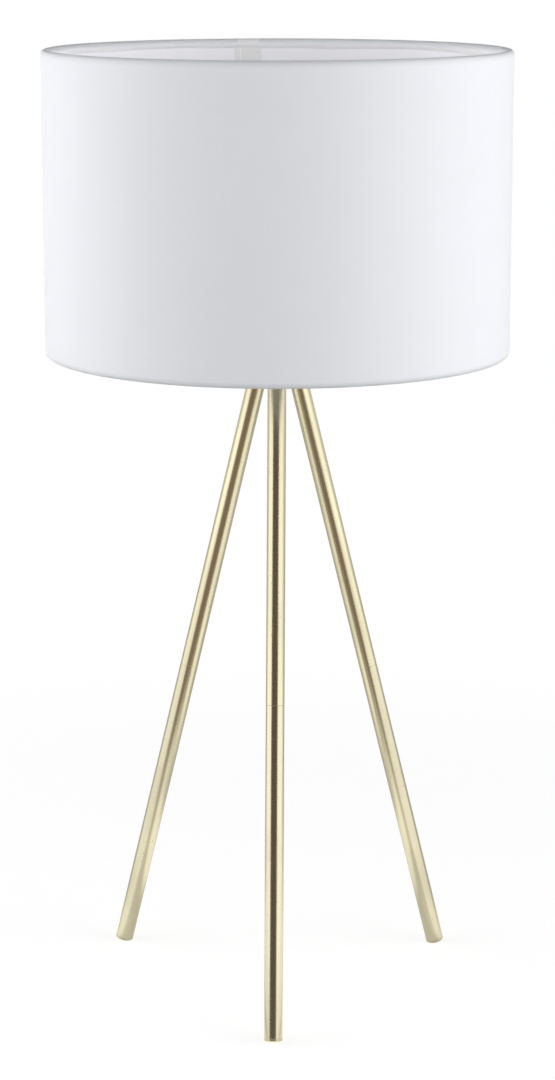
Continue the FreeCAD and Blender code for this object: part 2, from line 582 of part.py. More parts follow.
# ---------------------------------------------------------------- shade
def hem_points(radius, centre_z, up):
    """The corners of a hem roll of a given radius, from the outer wall over the crest to the tucked end."""
    turns = [math.radians((180 + HEM_TUCK_ANGLE) * step / HEM_STEPS) for step in range(HEM_STEPS + 1)]
    return [(HEM_CENTRE_RADIUS + radius * math.cos(turn), centre_z + up * radius * math.sin(turn))
            for turn in turns]


def fitter_arm(radius):
    """One arm along +X, level from the fitter ring and then down to the lower ring wire."""
    level_z = FITTER_SEAT_Z + FITTER_RING_THICKNESS / 2
    start = Vec(FITTER_RING_RADIUS, 0, level_z)
    corner = Vec(ARM_LEVEL_REACH, 0, level_z)
    end = Vec(RING_CENTRE_RADIUS, 0, BOTTOM_HEM_Z)
    down = (end - corner).normalize()
    fall = math.acos(down.x)
    setback = ARM_BEND_RADIUS * math.tan(fall / 2)
    bend_in = corner - Vec(setback, 0, 0)
    bend_out = corner + down * setback
    middle = Vec(bend_in.x + ARM_BEND_RADIUS * math.sin(fall / 2), 0,
                 level_z - ARM_BEND_RADIUS * (1 - math.cos(fall / 2)))
    path = Part.Wire([Part.LineSegment(start, bend_in).toShape(),
                      Part.Arc(bend_in, middle, bend_out).toShape(),
                      Part.LineSegment(bend_out, end).toShape()])
    section = Part.Wire([Part.makeCircle(radius, start, Vec(1, 0, 0))])
    return path.makePipeShell([section], True, False)


def ring_wire(centre_z):
    """One wire ring of the shade, with a many-sided section."""
    corners = [(RING_CENTRE_RADIUS + RING_WIRE_RADIUS * math.cos(2 * math.pi * side / RING_WIRE_SIDES),
                centre_z + RING_WIRE_RADIUS * math.sin(2 * math.pi * side / RING_WIRE_SIDES))
               for side in range(RING_WIRE_SIDES)]
    section = Profile(*corners[0])
    for corner in corners[1:]:
        section.line(*corner)
    return section.turned()


def shade_fabric():
    """The fabric cover: one wall whose upper and lower edges are rolled round the ring wires."""
    tail = LINER_INNER_RADIUS - 5 * LINER_PLAY
    corners = []
    for centre_z, up in ((TOP_HEM_Z, 1), (BOTTOM_HEM_Z, -1)):
        outer = hem_points(HEM_RADIUS, centre_z, up)
        inner = hem_points(HEM_RADIUS - FABRIC_THICKNESS, centre_z, up)
        tail_z = outer[-1][1] - up * HEM_TAIL_DROP
        roll = [*outer, (tail, tail_z), (tail, tail_z + up * FABRIC_THICKNESS), *reversed(inner)]
        corners += roll if up > 0 else reversed(roll)
    profile = Profile(*corners[0])
    for corner in corners[1:]:
        profile.line(*corner)
    cover = profile.turned()
    notch = fitter_arm(ARM_WIRE_RADIUS + ARM_NOTCH_PLAY)
    inside = disc(HEM_CENTRE_RADIUS, SHADE_HEIGHT, SHADE_BOTTOM_Z)
    for azimuth in ARM_AZIMUTHS:
        cover = cover.cut(on_circle(notch.common(inside), azimuth))
    return cover


def shade_liner():
    """The stiff liner that the fabric is laminated to."""
    return tube(LINER_OUTER_RADIUS, LINER_INNER_RADIUS, TOP_HEM_Z - BOTTOM_HEM_Z, BOTTOM_HEM_Z)


def shade_seam():
    """The strip along the lap of the liner, inside, between the two hems."""
    outer = LINER_INNER_RADIUS - GLUE_LINE
    clear = HEM_RADIUS * math.sin(math.radians(HEM_TUCK_ANGLE)) + HEM_TAIL_DROP + LINER_PLAY
    base_z = BOTTOM_HEM_Z + clear
    ring = tube(outer, outer - SEAM_THICKNESS, TOP_HEM_Z - clear - base_z, base_z)
    strip = Part.makeBox(SHADE_RADIUS, SEAM_WIDTH, SHADE_HEIGHT, Vec(0, -SEAM_WIDTH / 2, SHADE_BOTTOM_Z))
    return ring.common(on_circle(strip, SEAM_AZIMUTH))


def fitter_arms():
    """The three arms, each cut to butt on the fitter ring and the lower ring wire."""
    arm = fitter_arm(ARM_WIRE_RADIUS).cut(ring_wire(BOTTOM_HEM_Z))
    arm = arm.cut(disc(FITTER_RING_RADIUS, FITTER_RISE, SHADE_BOTTOM_Z + FITTER_RISE / 2))
    arm = max(arm.Solids, key=lambda solid: solid.Volume)
    return Part.makeCompound([on_circle(arm, azimuth) for azimuth in ARM_AZIMUTHS])


def fitter_ring():
    """The flat ring that sits on the lampholder's shoulder."""
    return tube(FITTER_RING_RADIUS, HOLDER_RADIUS + LOOSE_FIT, FITTER_RING_THICKNESS, FITTER_SEAT_Z)


# ---------------------------------------------------------------- assembly
def build():
    """Every piece of the lamp, by node name."""
    pieces = {}
    for name, azimuth in LEG_AZIMUTHS.items():
        pieces.update(make_leg(name, azimuth))
    pieces.update({
        "hub_body": hub_body(), "cord_bush": cord_bush(), "hollow_nipple": hollow_nipple(),
        "lock_washer": lock_washer(), "nipple_nut": nipple_nut(),
        "holder_cap": holder_cap(), "cap_grub_screw": grub_screw(GRUB_SCREW_RADIUS),
        "holder_body": holder_body(), "holder_insulator": holder_insulator(),
        "screw_shell": screw_shell(), "centre_contact": centre_contact(),
        "terminal_screws": terminal_screws(), "switch_block": switch_block(),
        "switch_bushing": switch_bushing(), "switch_shaft": switch_shaft(), "switch_knob": switch_knob(),
        "shade_ring_nut": shade_ring_nut(),
        "bulb_tip": bulb_tip(), "bulb_insulator": bulb_insulator(), "bulb_screw_cap": bulb_screw_cap(),
        "bulb_housing": bulb_housing(), "bulb_dome": bulb_dome(),
        "shade_fabric": shade_fabric(), "shade_liner": shade_liner(), "shade_seam": shade_seam(),
        "top_ring_wire": ring_wire(TOP_HEM_Z), "bottom_ring_wire": ring_wire(BOTTOM_HEM_Z),
        "fitter_arms": fitter_arms(), "fitter_ring": fitter_ring(),
    })
    return pieces


os.makedirs("parts", exist_ok=True)
for node, shape in build().items():
    shape.exportStep(f"parts/{node}.step")
    box = shape.BoundBox
    print(f"{node:26s} solids {len(shape.Solids)} valid {shape.isValid()} volume {shape.Volume:10.2f}"
          f"  z {box.ZMin:7.2f} to {box.ZMax:7.2f}")
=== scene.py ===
"""Looks of the tripod table lamp: brass legs, lampholder, bulb and a white drum shade.

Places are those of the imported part: +Z up, the front leg towards -Y. Sizes in the classes are
millimetres, and a piece's height comes from the box of the node that it stands for. Each class
below the finishes is one sub-assembly of the lamp.
"""
from __future__ import annotations

import logging
import math
from dataclasses import dataclass, field
from enum import Enum
from typing import Callable, Optional, Sequence, Union

import bmesh
import bpy
from mathutils import Matrix, Vector

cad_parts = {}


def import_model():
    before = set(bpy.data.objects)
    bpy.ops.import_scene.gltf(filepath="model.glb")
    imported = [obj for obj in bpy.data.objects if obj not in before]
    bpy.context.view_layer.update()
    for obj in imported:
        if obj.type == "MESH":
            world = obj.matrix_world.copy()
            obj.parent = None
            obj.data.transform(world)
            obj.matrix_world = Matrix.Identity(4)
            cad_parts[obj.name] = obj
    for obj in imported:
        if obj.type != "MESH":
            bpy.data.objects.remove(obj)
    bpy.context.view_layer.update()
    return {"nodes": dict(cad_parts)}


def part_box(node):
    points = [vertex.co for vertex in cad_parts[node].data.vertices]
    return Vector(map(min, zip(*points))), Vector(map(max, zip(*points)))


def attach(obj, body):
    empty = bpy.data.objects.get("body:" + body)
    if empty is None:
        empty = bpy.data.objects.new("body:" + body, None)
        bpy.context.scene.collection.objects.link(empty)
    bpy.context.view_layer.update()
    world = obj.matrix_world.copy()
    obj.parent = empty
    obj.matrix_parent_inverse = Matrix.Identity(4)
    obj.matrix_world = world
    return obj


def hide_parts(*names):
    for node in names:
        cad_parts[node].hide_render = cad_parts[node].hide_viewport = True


LOG = logging.getLogger("tripod_lamp")
MM = 0.001
WHITE = (1.0, 1.0, 1.0, 1.0)

Point = tuple[float, float]
Colour = tuple[float, float, float]
Setting = Union[str, float, bool, tuple, list]
Shaping = Callable[[float, float, float], Point]


# ------------------------------------------------------------------ shader expressions
class Wire:
    """A node socket that takes part in Python arithmetic."""

    def __init__(self, graph: "Graph", socket: bpy.types.NodeSocket) -> None:
        """Keep the socket and the graph that its nodes belong to."""
        self.graph = graph
        self.socket = socket

    def math(self, operation: str, *others: "Value", clamp: bool = False) -> "Wire":
        """Put this value and others through a Math node.

        Args:
            operation: The Math node's operation.
            others: The second and third inputs.
            clamp: Whether the result is kept between 0 and 1.

        Returns:
            The result.
        """
        inputs = dict(enumerate((self, *others)))
        return self.graph.add("ShaderNodeMath", {"operation": operation, "use_clamp": clamp}, inputs)

    def __add__(self, other: "Value") -> "Wire":
        """This plus a value."""
        return self.math("ADD", other)

    def __sub__(self, other: "Value") -> "Wire":
        """This minus a value."""
        return self.math("SUBTRACT", other)

    def __rsub__(self, other: "Value") -> "Wire":
        """A value minus this."""
        return self.graph.add("ShaderNodeMath", {"operation": "SUBTRACT"}, {0: other, 1: self})

    def __mul__(self, other: Union["Value", tuple]) -> "Wire":
        """This times a value, or a vector times three factors."""
        if isinstance(other, tuple):
            return self.graph.add("ShaderNodeVectorMath", {"operation": "MULTIPLY"}, {0: self, 1: other})
        return self.math("MULTIPLY", other)

    def sine(self) -> "Wire":
        """The sine of this angle in radians."""
        return self.math("SINE")

    def size(self) -> "Wire":
        """This without its sign."""
        return self.math("ABSOLUTE")

    def clamped(self) -> "Wire":
        """This kept between 0 and 1."""
        return self.math("ADD", 0.0, clamp=True)

    def between(self, low: float, high: float) -> "Wire":
        """Where this lies from low to high, as a smooth step from 0 to 1."""
        return self.graph.add(
            "ShaderNodeMapRange",
            {"interpolation_type": "SMOOTHSTEP"},
            {"Value": self, "From Min": low, "From Max": high, "To Min": 0.0, "To Max": 1.0},
        )


Value = Union[Wire, float]


class Graph:
    """The node tree of one material."""

    def __init__(self, name: str) -> None:
        """Make an empty material."""
        self.material = bpy.data.materials.new(name)
        self.material.use_nodes = True
        self.tree = self.material.node_tree
        self.tree.nodes.clear()

    @classmethod
    def for_world(cls, world: bpy.types.World) -> "Graph":
        """An empty node tree for the surroundings."""
        graph = cls.__new__(cls)
        graph.material = None
        graph.tree = world.node_tree
        graph.tree.nodes.clear()
        return graph

    def add(self, kind: str, settings: dict[str, Setting], inputs: dict, output: Union[int, str] = 0) -> Wire:
        """Add one node.

        Args:
            kind: The node's type.
            settings: Attributes to set first, and "stops" for a colour ramp's positions and colours.
            inputs: A value or a Wire for each input, by name or number.
            output: The output to hand back, by name or number.

        Returns:
            The chosen output.
        """
        node = self.tree.nodes.new(kind)
        for name, setting in settings.items():
            if name == "stops":
                self._set_stops(node.color_ramp, setting)
            else:
                setattr(node, name, setting)
        for key, value in inputs.items():
            socket = node.inputs[key]
            if isinstance(value, Wire):
                self.tree.links.new(value.socket, socket)
            else:
                socket.default_value = value
        return Wire(self, node.outputs[output])

    @staticmethod
    def _set_stops(ramp: bpy.types.ColorRamp, stops: list[tuple[float, Colour]]) -> None:
        """Give a ramp exactly these stops."""
        while len(ramp.elements) < len(stops):
            ramp.elements.new(0.5)
        for element, (place, colour) in zip(ramp.elements, stops):
            element.position = place
            element.color = (*colour, 1.0)

    def place(self) -> Wire:
        """The point on the piece, in the piece's own metres."""
        return self.add("ShaderNodeTexCoord", {}, {}, "Object")

    def axis(self, index: int) -> Wire:
        """One coordinate of the point on the piece, 0 for X to 2 for Z."""
        return self.parts(self.place())[index]

    def parts(self, vector: Wire) -> list[Wire]:
        """The three coordinates of a vector."""
        split = self.add("ShaderNodeSeparateXYZ", {}, {"Vector": vector})
        return [Wire(self, output) for output in split.socket.node.outputs]

    def length(self, vector: Wire) -> Wire:
        """The length of a vector."""
        return self.add("ShaderNodeVectorMath", {"operation": "LENGTH"}, {0: vector}, 1)

    def ray(self, kind: str) -> Wire:
        """1 where the ray is of this kind, such as Camera or Glossy."""
        return self.add("ShaderNodeLightPath", {}, {}, f"Is {kind} Ray")

    def emission(self, colour: Union[Wire, tuple] = WHITE, strength: float = 1.0) -> Wire:
        """A shader that glows."""
        return self.add("ShaderNodeEmission", {}, {"Color": colour, "Strength": strength})

    def mix(self, share: Wire, first: Wire, second: Wire) -> Wire:
        """Two shaders mixed, with the second one's share."""
        return self.add("ShaderNodeMixShader", {}, {0: share, 1: first, 2: second})

    def unrolled(self, radius: float, start: float) -> Wire:
        """The point on a drum as if its wall were laid flat.

        Args:
            radius: The drum's radius in metres.
            start: The azimuth in degrees opposite the place where the flat wall begins and ends.

        Returns:
            The length round the drum, the height and 0, in metres.
        """
        spun = self.add("ShaderNodeVectorRotate", {"rotation_type": "Z_AXIS"},
                        {"Vector": self.place(), "Angle": -math.radians(start)})
        along, across, height = self.parts(spun)
        around = across.math("ARCTAN2", along) * radius
        return self.add("ShaderNodeCombineXYZ", {}, {"X": around, "Y": height})

    def noise(self, stretch: tuple[float, float, float], detail: float = 2.0, roughness: float = 0.5,
              at: Optional[Wire] = None) -> Wire:
        """Smooth noise from 0 to 1.

        Args:
            stretch: How many features there are per metre along X, Y and Z.
            detail: Octaves of finer noise.
            roughness: How strong the finer noise is.
            at: The place to use instead of the point on the piece.

        Returns:
            The noise's value.
        """
        scaled = self.add("ShaderNodeMapping", {"vector_type": "POINT"},
                          {"Vector": at or self.place(), "Scale": stretch})
        return self.add("ShaderNodeTexNoise", {"noise_dimensions": "3D"},
                        {"Vector": scaled, "Scale": 1.0, "Detail": detail, "Roughness": roughness}, 0)

    def blend(self, share: Value, first: Union[Colour, Wire], second: Union[Colour, Wire]) -> Wire:
        """Mix two colours.

        Args:
            share: The second colour's share.
            first: The colour at 0.
            second: The colour at 1.

        Returns:
            The mixed colour.
        """
        colours = [c if isinstance(c, Wire) else (*c, 1.0) for c in (first, second)]
        return self.add("ShaderNodeMix", {"data_type": "RGBA"}, {0: share, 6: colours[0], 7: colours[1]}, 2)

    def bump(self, height: Wire, depth: float, strength: float = 1.0) -> Wire:
        """Turn a height from 0 to 1 into a normal; depth is the height's real size in metres."""
        return self.add("ShaderNodeBump", {}, {"Height": height, "Distance": depth, "Strength": strength})

    def surface(self, **sockets: Union[Value, tuple]) -> bpy.types.Material:
        """Finish the material with a Principled shader.

        Args:
            sockets: Values or Wires by socket name, with _ for a space.

        Returns:
            The material.
        """
        inputs = {name.replace("_", " "): value for name, value in sockets.items()}
        return self.output(self.add("ShaderNodeBsdfPrincipled", {}, inputs))

    def output(self, shader: Wire, kind: str = "ShaderNodeOutputMaterial") -> bpy.types.Material:
        """Use a shader as the surface; kind is the output node's type."""
        node = self.tree.nodes.new(kind)
        self.tree.links.new(shader.socket, node.inputs["Surface"])
        return self.material


# ------------------------------------------------------------------ finishes
_MADE: dict["Finish", bpy.types.Material] = {}


@dataclass(frozen=True)
class Finish:
    """A surface of the lamp. Each finish makes its material once."""

    name: str

    def build(self) -> bpy.types.Material:
        """Make the node tree."""
        raise NotImplementedError

    def material(self) -> bpy.types.Material:
        """The finish's material, made when it is first asked for."""
        if self not in _MADE:
            _MADE[self] = self.build()
        return _MADE[self]


def shade_of(colour: Colour, amount: float) -> Colour:
    """A colour made darker or lighter by a factor."""
    return tuple(channel * amount for channel in colour)


@dataclass(frozen=True)
class AgedBrass(Finish):
    """Satin brass with fine brush lines, soft darker clouds and small brown specks."""

    colour: Colour = (0.615, 0.565, 0.39)
    roughness: float = 0.22
    lines: tuple[float, float, float] = (2600.0, 2600.0, 14.0)
    tarnish: float = 0.35
    specks: float = 0.4

    def build(self) -> bpy.types.Material:
        """Brush lines change roughness and relief; clouds and specks darken the colour."""
        graph = Graph(self.name)
        brush = graph.noise(self.lines, detail=3.0, roughness=0.6)
        clouds = graph.noise((34.0, 34.0, 11.0), detail=4.0, roughness=0.6).between(0.40, 0.72)
        specks = graph.noise((640.0, 640.0, 420.0), detail=2.0).between(0.66, 0.76)
        colour = graph.blend(clouds * self.tarnish, self.colour, shade_of(self.colour, 0.66))
        colour = graph.blend(specks * self.specks, colour, (0.24, 0.16, 0.07))
        roughness = (brush - 0.5) * 0.14 + clouds * 0.07 + specks * 0.10 + self.roughness
        return graph.surface(Base_Color=colour, Metallic=1.0, Roughness=roughness.clamped(),
                             Normal=graph.bump(brush, 0.000007))


@dataclass(frozen=True)
class PlatedSteel(Finish):
    """Zinc plated or nickel plated turned steel, with faint rings from the lathe."""

    colour: Colour = (0.60, 0.60, 0.57)
    roughness: float = 0.3

    def build(self) -> bpy.types.Material:
        """Turning rings follow the height, and cloudy plating changes the tone."""
        graph = Graph(self.name)
        rings = (graph.axis(2) * 21000.0).sine() * 0.5 + 0.5
        clouds = graph.noise((260.0, 260.0, 260.0), detail=3.0)
        colour = graph.blend(clouds.between(0.35, 0.7), self.colour, shade_of(self.colour, 0.8))
        return graph.surface(Base_Color=colour, Metallic=1.0, Roughness=clouds * 0.15 + self.roughness,
                             Normal=graph.bump(rings, 0.00001))


@dataclass(frozen=True)
class WovenCloth(Finish):
    """Plain-woven white cloth on a drum, with uneven threads, painted shade in a band at the doubled hems and
    painted light on the turned-in cloth.
    """

    colour: Colour = (0.825, 0.835, 0.87)
    radius: float = 0.15
    threads_per_metre: float = 2000.0
    start: float = -81.0
    middle: float = 0.5224
    half_height: float = 0.0975
    hem: float = 0.0042
    # Painted shade: the darker, greyer colour of the band at each hem.
    hem_shade_colour: Colour = (0.72, 0.735, 0.76)
    # Painted light: the lighter colour of the turned-in cloth, which lifts the shade in the crease under the roll.
    turned_in_lift_colour: Colour = (0.94, 0.94, 0.95)
    fold: tuple[float, float] = (-0.0299, -0.0150)
    fold_colour: Colour = (0.87, 0.87, 0.875)

    def folded_end(self, graph: Graph) -> Wire:
        """Where the hem's folded end covers its seam at the back, with one slanting side."""
        across, depth, height = graph.parts(graph.place())
        slanted = across + (height - self.middle - self.half_height) * -0.9
        covered = across.between(self.fold[0] - 0.0004, self.fold[0]) * depth.between(0.0, 0.01)
        return covered * (1.0 - slanted.between(self.fold[1], self.fold[1] + 0.0006))

    def build(self) -> bpy.types.Material:
        """Weave relief, slubs along both threads, painted shade in a band where the cloth is doubled at the hems,
        and painted light on the turned-in cloth.
        """
        graph = Graph(self.name)
        wall = graph.unrolled(self.radius, self.start)
        around = graph.parts(wall)[0]
        height = graph.axis(2)
        across = (around * (math.pi * self.threads_per_metre)).sine()
        upright = (height * (math.pi * self.threads_per_metre)).sine()
        over = across * upright
        weave = (across.size() * (over + 1.0) + upright.size() * (1.0 - over)) * 0.5
        weft = graph.noise((26.0, 1500.0, 1.0), detail=2.0, roughness=0.6, at=wall)
        warp = graph.noise((1500.0, 26.0, 1.0), detail=2.0, roughness=0.6, at=wall)
        slubs = weft.between(0.60, 0.80) + warp.between(0.62, 0.82)
        uneven = graph.noise((9.0, 9.0, 9.0), detail=3.0)
        from_middle = height - self.middle
        # Painted shade: a band round each hem, standing for the shade on the rolled edge and the light that the
        # doubled cloth and its wire hold back.
        rim = (from_middle.between(self.half_height - 0.0056, self.half_height - 0.0012)
               + (from_middle * -1.0).between(self.half_height - self.hem, self.half_height - self.hem * 0.7))
        from_axis = graph.length(graph.place() * (1.0, 1.0, 0.0))
        # Painted light: the turned-in cloth below the hem band is painted lighter, lifting the shade in the crease
        # under the roll.
        inside = (1.0 - from_axis.between(self.radius - 0.0014, self.radius - 0.0008)) * (1.0 - rim)
        colour = graph.blend((weft + warp - 1.0) * 0.5 + 0.3, self.colour, shade_of(self.colour, 0.955))
        colour = graph.blend(uneven.between(0.35, 0.75) * 0.5, colour, shade_of(self.colour, 0.975))
        # Painted light on the turned-in cloth.
        colour = graph.blend(inside, colour, self.turned_in_lift_colour)
        # Painted shade: the hem band in its darker colour.
        colour = graph.blend(rim, colour, self.hem_shade_colour)
        colour = graph.blend(self.folded_end(graph) * rim * 0.85, colour, self.fold_colour)
        return graph.surface(Base_Color=colour, Roughness=0.88, Sheen_Weight=0.12, Sheen_Roughness=0.5,
                             Specular_IOR_Level=0.2,
                             Normal=graph.bump(weave * 0.5 + slubs * 0.35, 0.00012, 0.8))


@dataclass(frozen=True)
class ShadeLiner(Finish):
    """Thin white styrene with a soft gloss."""

    colour: Colour = (0.895, 0.89, 0.925)

    def build(self) -> bpy.types.Material:
        """A weak orange-peel relief, cloudy gloss and slight yellowing in patches."""
        graph = Graph(self.name)
        peel = graph.noise((420.0, 420.0, 420.0), detail=2.0)
        patches = graph.noise((14.0, 14.0, 7.0), detail=3.0).between(0.4, 0.75)
        colour = graph.blend(patches * 0.5, self.colour, shade_of(self.colour, 0.975))
        return graph.surface(Base_Color=colour, Roughness=patches * 0.1 + 0.48, Specular_IOR_Level=0.35,
                             Normal=graph.bump(peel, 0.00003))


@dataclass(frozen=True)
class LapTape(Finish):
    """The glued lap of cloth and tape: matt, fibrous and a little greyer than the liner."""

    colour: Colour = (0.80, 0.80, 0.805)

    def build(self) -> bpy.types.Material:
        """Fine upright fibres with uneven glue behind them."""
        graph = Graph(self.name)
        fibres = graph.noise((1800.0, 1800.0, 70.0), detail=3.0, roughness=0.65)
        glue = graph.noise((60.0, 60.0, 30.0), detail=3.0).between(0.42, 0.7)
        colour = graph.blend(glue * 0.5, self.colour, shade_of(self.colour, 0.94))
        colour = graph.blend(fibres.between(0.45, 0.75) * 0.5, colour, shade_of(self.colour, 1.06))
        return graph.surface(Base_Color=colour, Roughness=fibres * 0.1 + 0.8, Specular_IOR_Level=0.2,
                             Normal=graph.bump(fibres, 0.00008, 0.8))


@dataclass(frozen=True)
class PowderCoat(Finish):
    """White powder paint on wire: a pebbled gloss, thinner and greyer on the ridges."""

    colour: Colour = (0.84, 0.84, 0.82)

    def build(self) -> bpy.types.Material:
        """Pebbled relief with a cloudy gloss."""
        graph = Graph(self.name)
        pebbles = graph.noise((1100.0, 1100.0, 1100.0), detail=2.0)
        clouds = graph.noise((70.0, 70.0, 70.0), detail=2.0)
        colour = graph.blend(clouds.between(0.4, 0.7) * 0.4, self.colour, shade_of(self.colour, 0.92))
        return graph.surface(Base_Color=colour, Roughness=clouds * 0.15 + 0.28, Coat_Weight=0.25,
                             Normal=graph.bump(pebbles, 0.00003))


@dataclass(frozen=True)
class Moulding(Finish):
    """A moulded part in plastic or ceramic, with a fine skin and a mottled tone."""

    colour: Colour = (0.05, 0.03, 0.02)
    mottle: Colour = (0.09, 0.05, 0.03)
    roughness: float = 0.35
    skin: float = 0.00002
    grain: float = 900.0
    coat: float = 0.0
    through: float = 0.0

    def build(self) -> bpy.types.Material:
        """Mottled colour, a skin of fine grain, and light scattered inside a milky material."""
        graph = Graph(self.name)
        grain = graph.noise((self.grain,) * 3, detail=3.0)
        flow = graph.noise((130.0, 130.0, 60.0), detail=3.0).between(0.38, 0.7)
        colour = graph.blend(flow, self.colour, self.mottle)
        return graph.surface(Base_Color=colour, Roughness=grain * 0.12 + self.roughness,
                             Coat_Weight=self.coat, Subsurface_Weight=self.through, Subsurface_Scale=0.004,
                             Normal=graph.bump(grain, self.skin))


class Look:
    """The lamp's finishes."""

    UPPER_TUBE = AgedBrass("brass_upper_tube", lines=(2400.0, 2400.0, 12.0), tarnish=0.30)
    LOWER_TUBE = AgedBrass("brass_lower_tube", colour=(0.60, 0.555, 0.395), lines=(2700.0, 2700.0, 10.0),
                           tarnish=0.42)
    FOOT = AgedBrass("brass_foot_cap", colour=(0.58, 0.535, 0.345), lines=(700.0, 700.0, 700.0), tarnish=0.5)
    HUB = AgedBrass("brass_hub", colour=(0.60, 0.545, 0.34), lines=(60.0, 60.0, 5200.0), roughness=0.26)
    HOLDER = AgedBrass("brass_holder", colour=(0.66, 0.60, 0.375), lines=(70.0, 70.0, 5200.0), roughness=0.24,
                       tarnish=0.2, specks=0.2)
    CONTACT = AgedBrass("brass_contact", colour=(0.80, 0.64, 0.36), lines=(900.0, 120.0, 900.0), tarnish=0.2)
    ZINC = PlatedSteel("zinc_steel")
    NICKEL = PlatedSteel("nickel_bulb_cap", colour=(0.66, 0.66, 0.64), roughness=0.24)
    CLOTH = WovenCloth("shade_cloth")
    LINER = ShadeLiner("shade_liner")
    TAPE = LapTape("shade_tape")
    # The cut edge is a real proud line; its near-white colour is a painted highlight along it.
    TAPE_EDGE_HIGHLIGHT = LapTape("shade_tape_edge_highlight", colour=(0.95, 0.95, 0.955))
    WIRE = PowderCoat("white_powder_coat")
    PHENOLIC = Moulding("brown_phenolic", coat=0.3)
    NYLON = Moulding("black_nylon", colour=(0.022, 0.022, 0.024), mottle=(0.03, 0.03, 0.032), roughness=0.45)
    STEATITE = Moulding("white_steatite", colour=(0.80, 0.79, 0.75), mottle=(0.74, 0.73, 0.69), roughness=0.6,
                        grain=1500.0, skin=0.00005)
    OPAL = Moulding("opal_dome", colour=(0.86, 0.86, 0.85), mottle=(0.84, 0.84, 0.83), roughness=0.32,
                    skin=0.00001, through=0.35)
    HOUSING = Moulding("white_bulb_housing", colour=(0.82, 0.82, 0.80), mottle=(0.80, 0.80, 0.78),
                       roughness=0.26, coat=0.2)
    DARK_GLASS = Moulding("dark_bulb_glass", colour=(0.02, 0.015, 0.03), mottle=(0.03, 0.02, 0.04),
                          roughness=0.1, skin=0.000005, coat=0.6)


# ------------------------------------------------------------------ shapes
@dataclass
class Outline:
    """A closed outline in the (radius, height) plane, in millimetres, whose corners can be rounded."""

    corners: list[tuple[float, ...]] = field(default_factory=list)
    steps: int = 5
    hold: float = 0.2

    def to(self, radius: float, height: float, rounding: float = 0.0) -> "Outline":
        """Add a corner; rounding is the radius of its fillet."""
        self.corners.append((radius, height, rounding))
        return self

    def bend(self, centre: Point, radius: float, first: float, last: float, steps: int = 12) -> "Outline":
        """Add an arc's points.

        Args:
            centre: The arc's centre.
            radius: The arc's radius.
            first: The first point's angle in degrees, 0 outwards and 90 up.
            last: The last point's angle.
            steps: Straight pieces in the arc.

        Returns:
            This outline.
        """
        for step in range(steps + 1):
            angle = math.radians(first + (last - first) * step / steps)
            self.to(centre[0] + radius * math.cos(angle), centre[1] + radius * math.sin(angle))
        return self

    def points(self, longest: float = math.inf) -> list[Point]:
        """The outline's points.

        Args:
            longest: Longer straight stretches are divided.

        Returns:
            Points in order, with the fillets drawn. A point close to each end of a fillet keeps the
            smooth shading of the fillet off the straight stretch beside it.
        """
        drawn: list[tuple[Vector, bool, bool]] = []
        count = len(self.corners)
        for index, (radius, height, rounding) in enumerate(self.corners):
            here = Vector((radius, height))
            if rounding <= 0.0:
                drawn.append((here, False, False))
                continue
            before = (Vector(self.corners[index - 1][:2]) - here).normalized()
            after = (Vector(self.corners[(index + 1) % count][:2]) - here).normalized()
            half = before.angle(after) / 2
            reach = rounding / math.tan(half)
            middle = here + (before + after).normalized() * (rounding / math.sin(half))
            start, end = here + before * reach - middle, here + after * reach - middle
            turn = start.angle_signed(end)
            for step in range(self.steps + 1):
                angle = -turn * step / self.steps
                drawn.append((middle + Matrix.Rotation(angle, 2) @ start, step == 0, step == self.steps))
        spread: list[Point] = []
        for index, (point, _, fillet_ends) in enumerate(drawn):
            following, fillet_begins, _ = drawn[(index + 1) % len(drawn)]
            length = (following - point).length
            parts = max(1, math.ceil(length / longest))
            shares = {part / parts for part in range(parts)}
            if length > 6 * self.hold:
                shares |= {self.hold / length} if fillet_ends else set()
                shares |= {1 - self.hold / length} if fillet_begins else set()
            spread += [tuple(point.lerp(following, share)) for share in sorted(shares)]
        return spread


def finished_mesh(name: str, vertices: Sequence[Vector], faces: Sequence[tuple[int, ...]],
                  sharp: float = 38.0) -> bpy.types.Object:
    """Make an object of metres from a mesh in millimetres.

    Args:
        name: The object's name.
        vertices: Points in millimetres.
        faces: Corner numbers of each face.
        sharp: Edges that turn more than this many degrees stay crisp.

    Returns:
        The object, linked to the scene.
    """
    mesh = bpy.data.meshes.new(name)
    mesh.from_pydata([Vector(vertex) * MM for vertex in vertices], [], faces)
    shaped = bmesh.new()
    shaped.from_mesh(mesh)
    bmesh.ops.remove_doubles(shaped, verts=shaped.verts, dist=1e-7)
    bmesh.ops.recalc_face_normals(shaped, faces=shaped.faces)
    shaped.to_mesh(mesh)
    shaped.free()
    mesh.shade_smooth()
    mesh.set_sharp_from_angle(angle=math.radians(sharp))
    piece = bpy.data.objects.new(name, mesh)
    bpy.context.scene.collection.objects.link(piece)
    return piece


def turned(name: str, outline: Outline, segments: int = 96, longest: float = math.inf,
           shaping: Optional[Shaping] = None, sharp: float = 38.0) -> bpy.types.Object:
    """Turn an outline about the Z axis.

    Args:
        name: The object's name.
        outline: The closed section.
        segments: Steps round the axis.
        longest: The longest straight stretch of the section, in millimetres.
        shaping: Called with azimuth, radius and height, gives the radius and height to use there.
        sharp: Edges that turn more than this many degrees stay crisp.

    Returns:
        The turned object.
    """
    section = outline.points(longest)
    vertices = []
    for segment in range(segments):
        azimuth = 2 * math.pi * segment / segments
        for radius, height in section:
            if shaping:
                radius, height = shaping(azimuth, radius, height)
            vertices.append(Vector((radius * math.cos(azimuth), radius * math.sin(azimuth), height)))
    count = len(section)
    faces = []
    for segment in range(segments):
        this, following = segment * count, (segment + 1) % segments * count
        for index in range(count):
            ahead = (index + 1) % count
            faces.append((this + index, following + index, following + ahead, this + ahead))
    return finished_mesh(name, vertices, faces, sharp)


